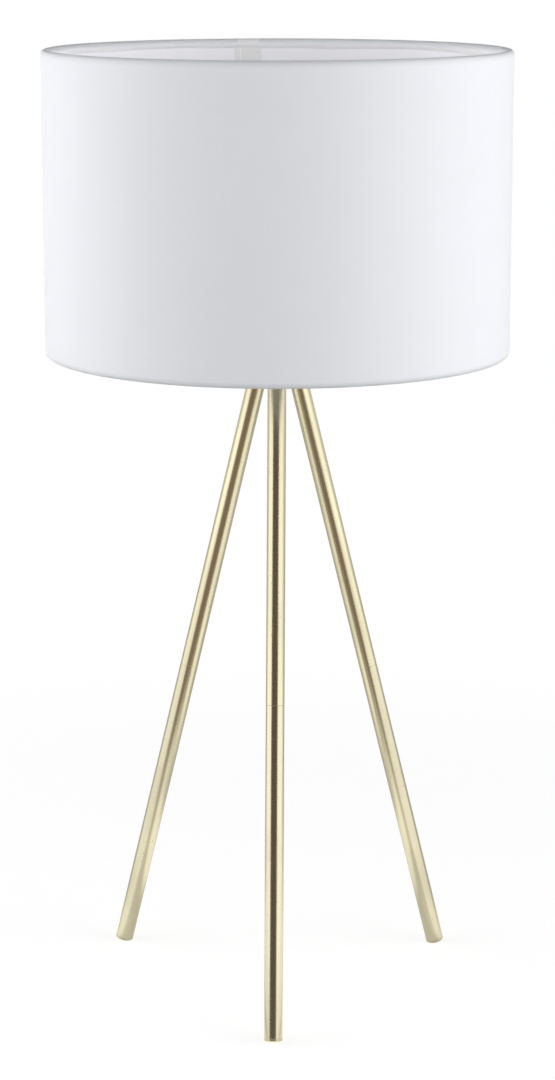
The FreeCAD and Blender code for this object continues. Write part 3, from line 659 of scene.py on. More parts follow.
def lofted(name: str, rings: Sequence[Sequence[Vector]], closed: bool = False,
           sharp: float = 38.0) -> bpy.types.Object:
    """Join rings of equally many points.

    Args:
        name: The object's name.
        rings: The rings in order, in millimetres.
        closed: Whether the last ring joins the first; otherwise both ends are capped.
        sharp: Edges that turn more than this many degrees stay crisp.

    Returns:
        The lofted object.
    """
    count = len(rings[0])
    vertices = [point for ring in rings for point in ring]
    faces: list[tuple[int, ...]] = []
    for row in range(len(rings) if closed else len(rings) - 1):
        this, following = row * count, (row + 1) % len(rings) * count
        for index in range(count):
            ahead = (index + 1) % count
            faces.append((this + index, this + ahead, following + ahead, following + index))
    if not closed:
        faces += [tuple(range(count)), tuple(range(len(vertices) - count, len(vertices)))]
    return finished_mesh(name, vertices, faces, sharp)


def wire_along(name: str, path: Sequence[Vector], radius: float, sides: int = 20) -> bpy.types.Object:
    """Bend a round wire along a path in the plane of X and Z.

    Args:
        name: The object's name.
        path: The wire's middle line, in millimetres.
        radius: The wire's radius.
        sides: Corners of its section.

    Returns:
        The wire.
    """
    rings = []
    for index, point in enumerate(path):
        before, after = path[max(index - 1, 0)], path[min(index + 1, len(path) - 1)]
        along = (after - before).normalized()
        sideways = Vector((0.0, 1.0, 0.0))
        upward = along.cross(sideways)
        rings.append([point + (sideways * math.cos(turn) + upward * math.sin(turn)) * radius
                      for turn in (2 * math.pi * side / sides for side in range(sides))])
    return lofted(name, rings)


def heights(node: str) -> Point:
    """A node's lowest and highest point, in millimetres."""
    low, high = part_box(node)
    return low.z / MM, high.z / MM


def degrees_from(azimuth: float, mark: float) -> float:
    """How far an azimuth in radians lies from a mark in degrees, from -180 to 180 degrees."""
    return math.degrees((azimuth - math.radians(mark) + math.pi) % (2 * math.pi) - math.pi)


@dataclass
class Thread:
    """A round thread between two heights, fading out over a run at both ends, in millimetres."""

    pitch: float
    depth: float
    low: float
    high: float
    run: float

    def cut(self, azimuth: float, height: float) -> float:
        """How deep the thread is at a place."""
        fade = max(0.0, min(1.0, (height - self.low) / self.run, (self.high - height) / self.run))
        turn = (height / self.pitch - azimuth / (2 * math.pi)) % 1.0
        return self.depth * fade * (0.5 - 0.5 * math.cos(2 * math.pi * turn))


# ------------------------------------------------------------------ sub-assemblies
class Body(Enum):
    """The lamp's bodies, as the joints name them."""

    STAND = "stand"
    SHADE = "shade"
    RING_NUT = "ring_nut"
    BULB = "bulb"
    KNOB = "knob"


@dataclass
class Assembly:
    """What the sub-assemblies share: how a piece is dressed, placed and reported."""

    nodes: dict[str, bpy.types.Object]
    body: Body = Body.STAND

    def fit(self, piece: bpy.types.Object, finish: Finish, slot: str, replaces: Sequence[str] = (),
            place: Optional[Matrix] = None) -> bpy.types.Object:
        """Put a piece on its body.

        Args:
            piece: The piece.
            finish: Its finish.
            slot: The name of a material slot; not used.
            replaces: The nodes that it stands for.
            place: Where it goes, in millimetres, if it wasn't built in place.

        Returns:
            The piece.
        """
        if place is not None:
            piece.matrix_world = Matrix.Translation(place.to_translation() * MM) @ place.to_3x3().to_4x4()
        piece.data.materials.clear()
        piece.data.materials.append(finish.material())
        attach(piece, self.body.value)
        if replaces:
            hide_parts(*replaces)
        LOG.info("%-26s %6d faces, %s", piece.name, len(piece.data.polygons), finish.name)
        return piece

    def dress(self, node: str, finish: Finish, sharp: float = 30.0) -> None:
        """Keep a node's own shape and give it a finish.

        Args:
            node: The node.
            finish: Its finish.
            sharp: Edges that turn more than this many degrees stay crisp.
        """
        mesh = self.nodes[node].data
        mesh.materials.clear()
        mesh.materials.append(finish.material())
        mesh.shade_smooth()
        mesh.set_sharp_from_angle(angle=math.radians(sharp))
        LOG.info("%-26s kept, %s", node, finish.name)


@dataclass
class Tripod(Assembly):
    """Three legs of two brass tubes each, with their caps and the pieces that join them."""

    azimuths: dict[str, float] = field(default_factory=lambda: {"front": -90.0, "right": 30.0, "left": 150.0})
    lean: float = 15.2
    socket_circle: float = 13.8
    tube_radius: float = 6.0
    wall: float = 0.8
    upper_length: float = 213.0
    lower_length: float = 212.0
    cap_thickness: float = 1.6
    joint_edge: float = 0.22
    spins: dict[str, float] = field(default_factory=lambda: {"front": 0.0, "right": 77.0, "left": 191.0})

    def place(self, name: str) -> Matrix:
        """Where a leg's tubes stand: Z runs up the tube, with 0 at its upper end."""
        lean = math.radians(self.lean)
        end = heights(f"leg_upper_tube_{name}")[1] - self.tube_radius * math.sin(lean)
        return (Matrix.Rotation(math.radians(self.azimuths[name]), 4, "Z")
                @ Matrix.Translation((self.socket_circle, 0.0, end)) @ Matrix.Rotation(-lean, 4, "Y"))

    def tube(self, name: str, low: float, high: float) -> bpy.types.Object:
        """One tube with softly broken ends.

        Args:
            name: The object's name.
            low: The lower end's place along the leg.
            high: The upper end's place.

        Returns:
            The tube.
        """
        inner, edge = self.tube_radius - self.wall, self.joint_edge
        outline = (Outline().to(inner, low).to(self.tube_radius, low, edge)
                   .to(self.tube_radius, high, edge).to(inner, high))
        return turned(name, outline, segments=72)

    def foot_cap(self, name: str) -> bpy.types.Object:
        """The thin cap in the lower end, built in place, its rim rounded and worn flat on the table."""
        top = -self.upper_length - self.lower_length
        bottom = top - self.cap_thickness
        seat = self.tube_radius - self.wall - 0.02
        outline = (Outline().to(0.0, bottom).to(self.tube_radius, bottom, 0.75)
                   .to(self.tube_radius, top, 0.15).to(seat, top).to(seat, top + 8.0, 0.4).to(0.0, top + 8.0))
        cap = turned(f"foot_cap_{name}", outline, segments=72, longest=0.6)
        place = self.place(name)
        for vertex in cap.data.vertices:
            spot = place @ (vertex.co / MM)
            vertex.co = Vector((spot.x, spot.y, max(spot.z, 0.0))) * MM
        return cap

    def build(self) -> None:
        """Build the three legs."""
        joint = -self.upper_length
        for name in self.azimuths:
            place = self.place(name) @ Matrix.Rotation(math.radians(self.spins[name]), 4, "Z")
            upper = self.tube(f"upper_tube_{name}", joint, 0.0)
            self.fit(upper, Look.UPPER_TUBE, "tube_brass", [f"leg_upper_tube_{name}"], place)
            lower = self.tube(f"lower_tube_{name}", joint - self.lower_length, joint)
            self.fit(lower, Look.LOWER_TUBE, "tube_brass", [f"leg_lower_tube_{name}"], place)
            self.fit(self.foot_cap(name), Look.FOOT, "cap_brass", [f"leg_foot_cap_{name}"])
            for part in ("top_plug", "joint_stud", "joint_insert"):
                self.dress(f"leg_{part}_{name}", Look.ZINC)


@dataclass
class Hub(Assembly):
    """The turned hub with three leaning sockets, the flex bush, nipple, washer and nut."""

    tripod: Optional[Tripod] = None
    floor_radius: float = 11.0
    radius: float = 24.0
    rim: float = 10.0
    edge: float = 2.0
    bore: float = 5.02
    flex_bore: float = 4.42
    socket_wall: float = 1.45
    socket_depth: float = 6.0

    def body_piece(self) -> bpy.types.Object:
        """The turned cone and rim, with a fine bead turned above the cone."""
        low, top = heights("cord_bush")[1] - 8.0, heights("hub_body")[1]
        outline = (Outline().to(self.flex_bore, low, 0.2).to(self.floor_radius, low, 0.8)
                   .to(self.radius, top - self.rim, 0.6)
                   .to(self.radius, top - self.rim + 1.4).to(self.radius - 0.35, top - self.rim + 1.8)
                   .to(self.radius - 0.35, top - self.rim + 2.3).to(self.radius, top - self.rim + 2.7)
                   .to(self.radius, top, self.edge).to(self.bore, top, 0.3).to(self.bore, top - 12.0)
                   .to(self.flex_bore, top - 12.0))
        return turned("hub", outline, segments=144)

    def socket(self, name: str) -> bpy.types.Object:
        """One leaning socket with a rounded mouth, and a shadow gap round the tube."""
        inner = self.tripod.tube_radius + 0.02
        outer = inner + self.socket_wall
        outline = (Outline().to(inner, -self.socket_depth, 0.25).to(outer, -self.socket_depth, 0.45)
                   .to(outer, 10.0).to(inner, 10.0))
        return turned(f"hub_socket_{name}", outline, segments=72)

    def bush(self) -> bpy.types.Object:
        """The flanged bush that the flex leaves through, with a well-rounded mouth."""
        low, top = heights("cord_bush")
        shoulder = low + 2.5
        outline = (Outline().to(3.3, low, 1.1).to(5.8, low, 1.2).to(5.8, shoulder, 0.2).to(4.4, shoulder)
                   .to(4.4, top, 0.3).to(3.3, top, 0.3))
        return turned("flex_bush", outline, segments=72)

    def nut(self) -> bpy.types.Object:
        """The thin hexagon nut, its corners turned off above and below."""
        low, top = heights("nipple_nut")
        flat, turned_off, taper = 7.0, 7.55, 0.45

        def hexagon(azimuth: float, radius: float, height: float) -> Point:
            """Move the outline's outer points on to the six flats."""
            if radius < flat - 1.0:
                return radius, height
            wide = flat / math.cos(azimuth % math.radians(60) - math.radians(30))
            from_end = min(height - low, top - height)
            return min(wide, turned_off + from_end / taper * 0.6), height

        outline = (Outline().to(self.bore, low, 0.2).to(flat, low).to(flat, low + 0.2).to(flat, low + taper)
                   .to(flat, top - taper).to(flat, top - 0.2).to(flat, top).to(self.bore, top, 0.2))
        return turned("nipple_nut_hexagon", outline, segments=120, shaping=hexagon, sharp=24.0)

    def build(self) -> None:
        """Build the hub and what stands on it."""
        self.fit(self.body_piece(), Look.HUB, "hub_brass", ["hub_body"])
        for name in self.tripod.azimuths:
            self.fit(self.socket(name), Look.HUB, "hub_brass", place=self.tripod.place(name))
        self.fit(self.bush(), Look.NYLON, "bush_plastic", ["cord_bush"])
        low, top = heights("lock_washer")
        washer = Outline().to(self.bore, low, 0.1).to(9.0, low, 0.3).to(9.0, top, 0.3).to(self.bore, top, 0.1)
        self.fit(turned("spring_washer", washer), Look.ZINC, "zinc_steel", ["lock_washer"])
        self.fit(self.nut(), Look.ZINC, "zinc_steel", ["nipple_nut"])
        self.dress("hollow_nipple", Look.ZINC)


@dataclass
class Lampholder(Assembly):
    """Spun cap, threaded skirt with its shoulder, ceramic insert and contacts."""

    neck: float = 8.0
    neck_height: float = 8.0
    flare: float = 8.0
    radius: float = 20.0
    skirt: float = 19.5
    flange: float = 22.5
    flange_thickness: float = 2.4
    wall: float = 1.2
    thread_pitch: float = 2.0
    thread_depth: float = 0.45

    def cap(self) -> bpy.types.Object:
        """The spun cap: neck with a rolled foot, bowl-shaped flare and a wall with two turned lines."""
        low, top = heights("holder_cap")
        bore, inner = 5.02, self.radius - 1.0
        neck_top = low + self.neck_height
        outline = Outline().to(bore, low, 0.2).to(self.neck, low, 0.5).to(self.neck, neck_top, 0.4)
        for step in range(1, 13):
            angle = math.radians(90 * step / 12)
            outline.to(self.neck + (self.radius - self.neck) * math.sin(angle),
                       neck_top + self.flare * (1 - math.cos(angle)))
        for line in (low + 18.5, top - 1.6):
            outline.to(self.radius, line - 0.35).to(self.radius - 0.2, line).to(self.radius, line + 0.35)
        outline.to(self.radius, top, 0.3).to(inner, top, 0.2).to(inner, neck_top + self.flare)
        outline.to(self.neck, neck_top + 1.0).to(bore, neck_top + 1.0)
        return turned("lampholder_cap", outline, segments=144)

    def threaded_skirt(self) -> bpy.types.Object:
        """The body: a knurled shoulder, and a skirt with the thread that takes the ring nut."""
        low, top = heights("holder_body")
        shoulder = heights("holder_cap")[1]
        shelf = shoulder + self.flange_thickness
        inner = self.skirt - self.wall
        screw = Thread(self.thread_pitch, self.thread_depth, shelf + 0.6, top - 0.9, 1.2)

        def thread(azimuth: float, radius: float, height: float) -> Point:
            """Cut the outer thread, fading out at both ends, and the shoulder's fine knurl."""
            if abs(radius - self.flange) < 0.01 and shoulder + 0.3 < height < shelf - 0.3:
                return radius - 0.12 * abs(math.sin(azimuth * 60)), height
            if abs(radius - self.skirt) > 0.01 or height < shelf + 0.2:
                return radius, height
            return radius - screw.cut(azimuth, height), height

        outline = (Outline().to(inner, low, 0.2).to(self.radius - 1.02, low, 0.2).to(self.radius - 1.02, shoulder)
                   .to(self.flange, shoulder, 0.35).to(self.flange, shelf, 0.35).to(self.skirt, shelf)
                   .to(self.skirt, top, 0.3).to(inner, top, 0.3))
        return turned("lampholder_skirt", outline, segments=240, longest=0.4, shaping=thread, sharp=50.0)

    def build(self) -> None:
        """Build the shells and dress the inner pieces."""
        self.fit(self.cap(), Look.HOLDER, "holder_brass", ["holder_cap"])
        self.fit(self.threaded_skirt(), Look.HOLDER, "holder_brass", ["holder_body"])
        self.dress("cap_grub_screw", Look.ZINC)
        self.dress("holder_insulator", Look.STEATITE)
        for node in ("screw_shell", "centre_contact", "terminal_screws"):
            self.dress(node, Look.CONTACT)


@dataclass
class TurnSwitch(Assembly):
    """The bushing on the cap's wall, and the key that the fingers turn."""

    reach: float = 24.4
    collar: float = 4.2
    paddle_width: float = 15.0
    paddle_thickness: float = 3.4
    wall_radius: float = 20.0

    def bushing(self) -> bpy.types.Object:
        """The knurled nut of the bushing, drawn along Z and laid along X."""
        def knurl(azimuth: float, radius: float, height: float) -> Point:
            """Cut upright grooves into the rim."""
            groove = 0.16 * abs(math.sin(azimuth * 14)) if radius > 4.4 and 0.5 < height < 3.5 else 0.0
            return radius - groove, height

        outline = (Outline().to(1.65, 0.0).to(4.5, 0.0, 0.2).to(4.5, 4.0, 0.45).to(3.1, 4.0, 0.2)
                   .to(2.9, 3.7).to(1.65, 3.7, 0.1))
        return turned("switch_bushing_nut", outline, segments=168, longest=0.5, shaping=knurl)

    def key(self) -> bpy.types.Object:
        """The turn key: a round collar that flows into a flat oval paddle."""
        low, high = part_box("switch_knob")
        start, end = low.x / MM, high.x / MM
        height = (low.z + high.z) / 2 / MM
        bend = self.paddle_width / 2
        square = end - bend
        rings = []
        for x in (start, start + 0.15, start + 0.5, *(start + 1.0 + 0.55 * step for step in range(11)),
                  *(square + bend * math.sin(math.radians(9 * step)) for step in range(11))):
            blend = min(1.0, max(0.0, (x - start - 1.6) / 3.4))
            blend = blend * blend * (3 - 2 * blend)
            wide = self.collar + (bend - self.collar) * blend
            if x > square:
                wide = math.sqrt(max(bend ** 2 - (x - square) ** 2, 0.0))
            thick = self.collar + (self.paddle_thickness / 2 - self.collar) * blend
            from_end = end - x
            rounding = min(1.0, math.sqrt(max(1 - (1 - min(from_end, 1.2) / 1.2) ** 2, 0.0)))
            ease = 1.0 - 0.35 * max(0.0, 1 - (x - start) / 0.5) ** 2 / self.collar
            squareness = 1.0 - 0.42 * blend
            ring = []
            for side in range(48):
                turn = 2 * math.pi * side / 48
                across, up = math.cos(turn), math.sin(turn)
                ring.append(Vector((x, math.copysign(abs(across) ** squareness, across) * max(wide, 0.05) * ease,
                                    height + math.copysign(abs(up) ** squareness, up)
                                    * max(thick * rounding, 0.05) * ease)))
            rings.append(ring)
        return lofted("turn_key", rings, sharp=60.0)

    def build(self) -> None:
        """Build bushing and key, and dress the block and the shaft."""
        low, high = heights("switch_bushing")
        place = (Matrix.Translation((self.wall_radius, 0.0, (low + high) / 2))
                 @ Matrix.Rotation(math.pi / 2, 4, "Y"))
        self.fit(self.bushing(), Look.HOLDER, "holder_brass", ["switch_bushing"], place)
        self.dress("switch_block", Look.PHENOLIC)
        self.dress("switch_shaft", Look.ZINC)
        self.body = Body.KNOB
        self.fit(self.key(), Look.PHENOLIC, "switch_plastic", ["switch_knob"])


@dataclass
class RingNut(Assembly):
    """The ring that clamps the shade's fitter on the lampholder."""

    body: Body = Body.RING_NUT
    radius: float = 26.0
    collar: float = 23.6
    flange: float = 2.6
    bore: float = 19.55
    grips: int = 12
    grip_radius: float = 1.5

    def build(self) -> None:
        """Build the nut with finger grips cut round its collar."""
        low, top = heights("shade_ring_nut")
        cutter = self.collar + self.grip_radius / 2

        def grips(azimuth: float, radius: float, height: float) -> Point:
            """Scoop the collar where a finger grips it."""
            pitch = 2 * math.pi / self.grips
            off = ((azimuth + pitch / 2) % pitch - pitch / 2) * cutter
            on_collar = radius >= self.collar - 1.2 and height >= low + self.flange + 0.02
            if not on_collar or abs(off) >= self.grip_radius:
                return radius, height
            return min(radius, cutter - math.sqrt(self.grip_radius ** 2 - off ** 2)), height

        outline = (Outline().to(self.bore, low, 0.3).to(self.radius, low, 0.6)
                   .to(self.radius, low + self.flange, 0.8)
                   .to(self.collar, low + self.flange).to(self.collar, low + self.flange + 0.05)
                   .to(self.collar, top, 0.7).to(self.bore, top, 0.4))
        nut = turned("clamp_ring_nut", outline, segments=360, shaping=grips)
        self.fit(nut, Look.HOLDER, "holder_brass", ["shade_ring_nut"])


@dataclass
class Bulb(Assembly):
    """An opal bulb with a moulded housing and a screw cap."""

    body: Body = Body.BULB
    cap_radius: float = 13.15
    neck: float = 14.6
    radius: float = 30.0
    dome_centre: float = 13.0
    thread_pitch: float = 3.6
    thread_depth: float = 0.85

    def rim_radius(self) -> float:
        """The dome's radius on the housing."""
        return math.sqrt(self.radius ** 2 - self.dome_centre ** 2)

    def screw_cap(self) -> bpy.types.Object:
        """The rolled cap with its round thread and the punched edge above it."""
        low, top = heights("bulb_screw_cap")
        screw = Thread(self.thread_pitch, self.thread_depth, low + 1.4, top - 3.0, 1.6)

        def thread(azimuth: float, radius: float, height: float) -> Point:
            """Roll the thread, fading out at both ends, and punch the upper edge."""
            if radius < self.cap_radius - 0.6:
                return radius, height
            if height > top - 2.4:
                return radius - 0.25 * max(0.0, math.cos(azimuth * 12)) ** 8, height
            return radius - screw.cut(azimuth, height), height

        outline = (Outline().to(0.0, low).to(self.cap_radius - 1.6, low, 0.3)
                   .to(self.cap_radius, low + 1.6, 0.5)
                   .to(self.cap_radius, top, 0.2).to(0.0, top))
        return turned("bulb_cap_threaded", outline, segments=144, longest=0.45, shaping=thread, sharp=60.0)

    def housing(self) -> bpy.types.Object:
        """The flared housing with the fine gap under the dome."""
        low, top = heights("bulb_housing")
        rim = self.rim_radius()
        outline = Outline().to(0.0, low).to(self.neck, low, 0.6)
        for step in range(1, 20):
            along = step / 20
            swell = along - 0.48 * along * (1 - along)
            outline.to(self.neck + (rim - self.neck) * swell, low + (top - low) * along)
        outline.to(rim, top - 0.5, 0.3).to(rim - 0.5, top, 0.2).to(0.0, top)
        return turned("bulb_body", outline, segments=120)

    def dome(self) -> bpy.types.Object:
        """The opal dome, a shell that stands on the housing."""
        low, top = heights("bulb_dome")
        centre = (0.0, top - self.radius)
        first = -math.degrees(math.asin(self.dome_centre / self.radius))
        inner = self.radius - 1.5
        outline = (Outline().bend(centre, self.radius, first, 90.0, 40)
                   .bend(centre, inner, 90.0, -math.degrees(math.asin(self.dome_centre / inner)), 30))
        return turned("bulb_globe", outline, segments=144)

    def build(self) -> None:
        """Build the bulb and dress its cone and tip."""
        self.fit(self.screw_cap(), Look.NICKEL, "bulb_metal", ["bulb_screw_cap"])
        self.fit(self.housing(), Look.HOUSING, "bulb_plastic", ["bulb_housing"])
        self.fit(self.dome(), Look.OPAL, "bulb_opal", ["bulb_dome"])
        self.dress("bulb_insulator", Look.DARK_GLASS)
        self.dress("bulb_tip", Look.NICKEL)


@dataclass
class Shade(Assembly):
    """The drum: cloth rolled round two wires, on a stiff liner, with its glued lap at the back."""

    body: Body = Body.SHADE
    radius: float = 150.0
    cloth: float = 0.5
    roll: float = 2.8
    tuck: float = 215.0
    liner_inner: float = 149.03
    liner_outer: float = 149.48
    wire_radius: float = 1.75
    wire_circle: float = 147.03
    lap_azimuth: float = 99.0
    lap_width: float = 18.0
    lap_thickness: float = 0.4
    cut_edge: float = 3.6
    wide_hem_azimuth: float = 28.0
    glued: tuple[Point, ...] = ((146.6, 2.5), (147.8, 3.2), (148.6, 3.6), (148.98, 3.7))

    def levels(self) -> Point:
        """The heights of the two hem rolls' middles."""
        low, top = heights("shade_fabric")
        return low + self.roll, top - self.roll

    def cloth_width(self) -> float:
        """How wide the cloth lies flat, up the wall and round both hems, in millimetres."""
        low, top = self.levels()
        turn = math.radians(self.tuck)
        roll_end = (self.radius - self.roll + self.roll * math.cos(turn), -self.roll * math.sin(turn))
        tail = sum(math.dist(start, stop) for start, stop in zip((roll_end, *self.glued), self.glued))
        return top - low + 2 * ((self.roll - self.cloth / 2) * turn + tail)

    def hem_waver(self, azimuth: float) -> float:
        """How much lower than usual the hem's glued edge runs at an azimuth, in millimetres."""
        drift = (0.30 * math.sin(5 * azimuth + 1.0) + 0.22 * math.sin(11 * azimuth)
                 + 0.16 * math.sin(23 * azimuth + 2.0))
        away = degrees_from(azimuth, self.wide_hem_azimuth)
        return drift + 2.2 * math.exp(-(away / 9.0) ** 2)

    def hem(self, outline: Outline, middle: float, up: int, outer: bool) -> None:
        """Add one skin of a hem: round the wire, then down to the liner.

        Args:
            outline: The cover's section so far.
            middle: The roll's middle height.
            up: 1 for the upper hem, -1 for the lower.
            outer: Whether it is the cloth's outer skin.
        """
        centre = self.radius - self.roll
        radius = self.roll if outer else self.roll - self.cloth
        turns = [math.radians(self.tuck * step / 16) for step in range(17)]
        roll = [(centre + radius * math.cos(turn), middle + up * radius * math.sin(turn)) for turn in turns]
        drop = 0.0 if outer else self.cloth
        tail = [(reach, middle - up * (below - drop)) for reach, below in self.glued]
        path = roll + tail
        for radius_here, height in path if (up > 0) == outer else reversed(path):
            outline.to(radius_here, height)

    def cover(self) -> bpy.types.Object:
        """The cloth, with the slight unevenness of a hand-rolled hem and the lap outside at the back."""
        low, top = self.levels()
        outline = Outline()
        self.hem(outline, top, 1, outer=True)
        self.hem(outline, top, 1, outer=False)
        inner_wall = self.radius - self.cloth
        rows = 20
        for row in range(1, rows):
            outline.to(inner_wall, top + (low - top) * row / rows)
        self.hem(outline, low, -1, outer=False)
        self.hem(outline, low, -1, outer=True)
        for row in range(1, rows):
            outline.to(self.radius, low + (top - low) * row / rows)
        middle = (low + top) / 2

        def uneven(azimuth: float, radius: float, height: float) -> Point:
            """Let the cloth give a little, thicken it at the lap and let the glued edges waver."""
            away = degrees_from(azimuth, self.lap_azimuth)
            give = 0.10 * math.sin(7 * azimuth + 0.02 * height) + 0.07 * math.sin(19 * azimuth - 0.013 * height)
            slack = 1.0 - abs((height - middle) / (top - middle)) ** 4
            if radius > inner_wall + 0.1:
                radius += 0.30 if -3.3 < away < 3.5 else 0.0
                radius += give * max(0.0, slack)
            up = 1 if height > middle else -1
            roll_middle = top if up > 0 else low
            below = (roll_middle - height) * up
            if radius < self.liner_inner and below > 1.2:
                height -= up * self.hem_waver(azimuth) * min(1.0, (below - 1.2) / 2.2)
            return radius, height

        return turned("shade_cover", outline, segments=384, shaping=uneven, sharp=60.0)

    def liner(self) -> bpy.types.Object:
        """The liner, which bows a little between the places where it is glued."""
        low, top = self.levels()
        outline = Outline()
        rows = 16
        for row in range(rows + 1):
            outline.to(self.liner_outer, low + (top - low) * row / rows)
        for row in range(rows + 1):
            outline.to(self.liner_inner, top + (low - top) * row / rows)
        middle = (low + top) / 2

        def bowed(azimuth: float, radius: float, height: float) -> Point:
            """Bow the inner face outwards by a few hundredths."""
            slack = max(0.0, 1.0 - ((height - middle) / (top - middle)) ** 2)
            if radius < self.liner_outer - 0.1:
                radius += slack * (0.14 + 0.07 * math.sin(5 * azimuth + 0.4) + 0.06 * math.sin(13 * azimuth))
            return radius, height

        return turned("shade_liner_sheet", outline, segments=288, shaping=bowed, sharp=60.0)

    def strip(self, name: str, first: float, last: float, low: float, top: float,
              depth: Callable[[float, float], float], slope: float = 0.0) -> bpy.types.Object:
        """A strip glued inside the liner.

        Args:
            name: The object's name.
            first: Where it begins, in millimetres round the wall from the lap's middle.
            last: Where it ends.
            low: Its lower end's height.
            top: Its upper end's height.
            depth: Gives the thickness from the place across and the height.
            slope: How much further its second edge stands at the lower end.

        Returns:
            The strip.
        """
        columns, rows = 36, 60
        back = self.liner_inner - 0.16
        rings = []
        for row in range(rows + 1):
            height = low + (top - low) * row / rows
            limit = last + slope * (1 - row / rows)
            front_side, back_side = [], []
            for column in range(columns + 1):
                across = first + (limit - first) * column / columns
                azimuth = math.radians(self.lap_azimuth) + across / back
                for side, radius in ((front_side, back - depth(across, height)), (back_side, back)):
                    side.append(Vector((radius * math.cos(azimuth), radius * math.sin(azimuth), height)))
            rings.append(front_side + back_side[::-1])
        return lofted(name, rings, sharp=50.0)

    def lap(self) -> bpy.types.Object:
        """The lap's strip, with a slightly proud cut edge near its left side."""
        low, top = heights("shade_seam")
        half = self.lap_width / 2

        def depth(across: float, height: float) -> float:
            """The strip's thickness, with ripples in the glue and a raised line at the cut edge."""
            ripple = 0.05 * math.sin(0.9 * across + 0.05 * height) * math.sin(0.11 * height)
            line = 0.28 * math.exp(-((across - half + self.cut_edge) / 0.35) ** 2)
            edge = min(1.0, (half - abs(across)) / 0.4 + 0.3)
            return (self.lap_thickness + ripple) * edge + line

        return self.strip("shade_lap_strip", -half, half, low, top, depth)

    def build(self) -> None:
        """Build the drum."""
        low, top = self.levels()
        liner = self.fit(self.liner(), Look.LINER, "shade_liner", ["shade_liner"])
        for name, height in (("top_ring_wire", top), ("bottom_ring_wire", low)):
            outline = Outline().bend((self.wire_circle, height), self.wire_radius, 0.0, 345.0, 23)
            wire = turned(f"round_{name}", outline, segments=192)
            self.fit(wire, Look.WIRE, "white_wire", [name])
        cover = self.fit(self.cover(), Look.CLOTH, "shade_cloth", ["shade_fabric"])
        self.cloth_width() * MM
        lap = self.fit(self.lap(), Look.TAPE, "shade_tape", ["shade_seam"])
        half = self.lap_width / 2
        line = half - self.cut_edge
        # The proud cut edge, its near-white finish a painted highlight.
        edge = self.strip("shade_lap_edge", line - 0.28, line + 0.28, *heights("shade_seam"),
                          lambda across, height: 0.74 + 0.03 * math.sin(0.4 * height))
        self.fit(edge, Look.TAPE_EDGE_HIGHLIGHT, "shade_tape")


@dataclass
class Fitter(Assembly):
    """The flat ring on the lampholder's shoulder and the three bent arms welded to it."""

    body: Body = Body.SHADE
    azimuths: tuple[float, ...] = (30.0, 150.0, 270.0)
    ring_radius: float = 28.0
    bore: float = 19.75
    wire: float = Shade.wire_radius
    reach: float = 54.0
    bend: float = 14.0
    end_circle: float = Shade.wire_circle

    def arm_path(self, level: float, foot: float) -> list[Vector]:
        """The middle line of one arm along +X: level, one bend, then straight down.

        Args:
            level: The height of its level part.
            foot: The height of the wire that it is welded to.

        Returns:
            Points in millimetres.
        """
        corner = Vector((self.reach, 0.0, level))
        end = Vector((self.end_circle - 1.2, 0.0, foot))
        down = (end - corner).normalized()
        fall = math.acos(down.x)
        setback = self.bend * math.tan(fall / 2)
        path = [Vector((self.ring_radius - 0.6, 0.0, level))]
        for step in range(13):
            angle = fall * step / 12
            path.append(corner + Vector((self.bend * math.sin(angle) - setback, 0.0,
                                         -self.bend * (1 - math.cos(angle)))))
        path += [path[-1].lerp(end, share) for share in (0.33, 0.66, 1.0)]
        return path

    def bead(self, name: str, length: float, width: float) -> bpy.types.Object:
        """A weld bead: a low lump with the ripples that the welding left."""
        outline = Outline()
        for step in range(13):
            angle = math.radians(15 * step - 90)
            outline.to(width * math.cos(angle), length * math.sin(angle))

        def ripples(azimuth: float, radius: float, height: float) -> Point:
            """Ripple the bead along its length."""
            swell = 1 + 0.07 * math.sin(height * 5.5) + 0.05 * math.sin(3 * azimuth + height)
            return radius * swell, height

        return turned(name, outline, segments=32, shaping=ripples, sharp=70.0)

    def build(self) -> None:
        """Build ring, arms and weld beads."""
        low, top = heights("fitter_ring")
        ring = (Outline().to(self.bore, low, 0.3).to(self.ring_radius, low, 0.55)
                .to(self.ring_radius, top, 0.55).to(self.bore, top, 0.3))
        self.fit(turned("fitter_plate", ring, segments=144), Look.WIRE, "white_wire", ["fitter_ring"])
        level = (low + top) / 2
        foot = heights("shade_fabric")[0] + Shade.roll
        for number, azimuth in enumerate(self.azimuths, start=1):
            place = Matrix.Rotation(math.radians(azimuth), 4, "Z")
            arm = wire_along(f"fitter_arm_{number}", self.arm_path(level, foot), self.wire)
            self.fit(arm, Look.WIRE, "white_wire", ["fitter_arms"], place)
            for spot, where, size in (("ring", Vector((self.ring_radius - 0.2, 0.0, level)), (2.6, 2.1)),
                                      ("wire", Vector((self.end_circle - 2.4, 0.0, foot + 0.9)), (2.2, 1.9))):
                weld = self.bead(f"weld_{spot}_{number}", *size)
                lay = place @ Matrix.Translation(where) @ Matrix.Rotation(math.pi / 2, 4, "X")
                self.fit(weld, Look.WIRE, "white_wire", place=lay)


# ------------------------------------------------------------------ studio
def panel(name: str, corners: Sequence[tuple[float, float, float]]) -> bpy.types.Object:
    """A flat four-cornered piece of the studio, from its corners in metres."""
    return finished_mesh(name, [Vector(corner) / MM for corner in corners], [(0, 1, 2, 3)])


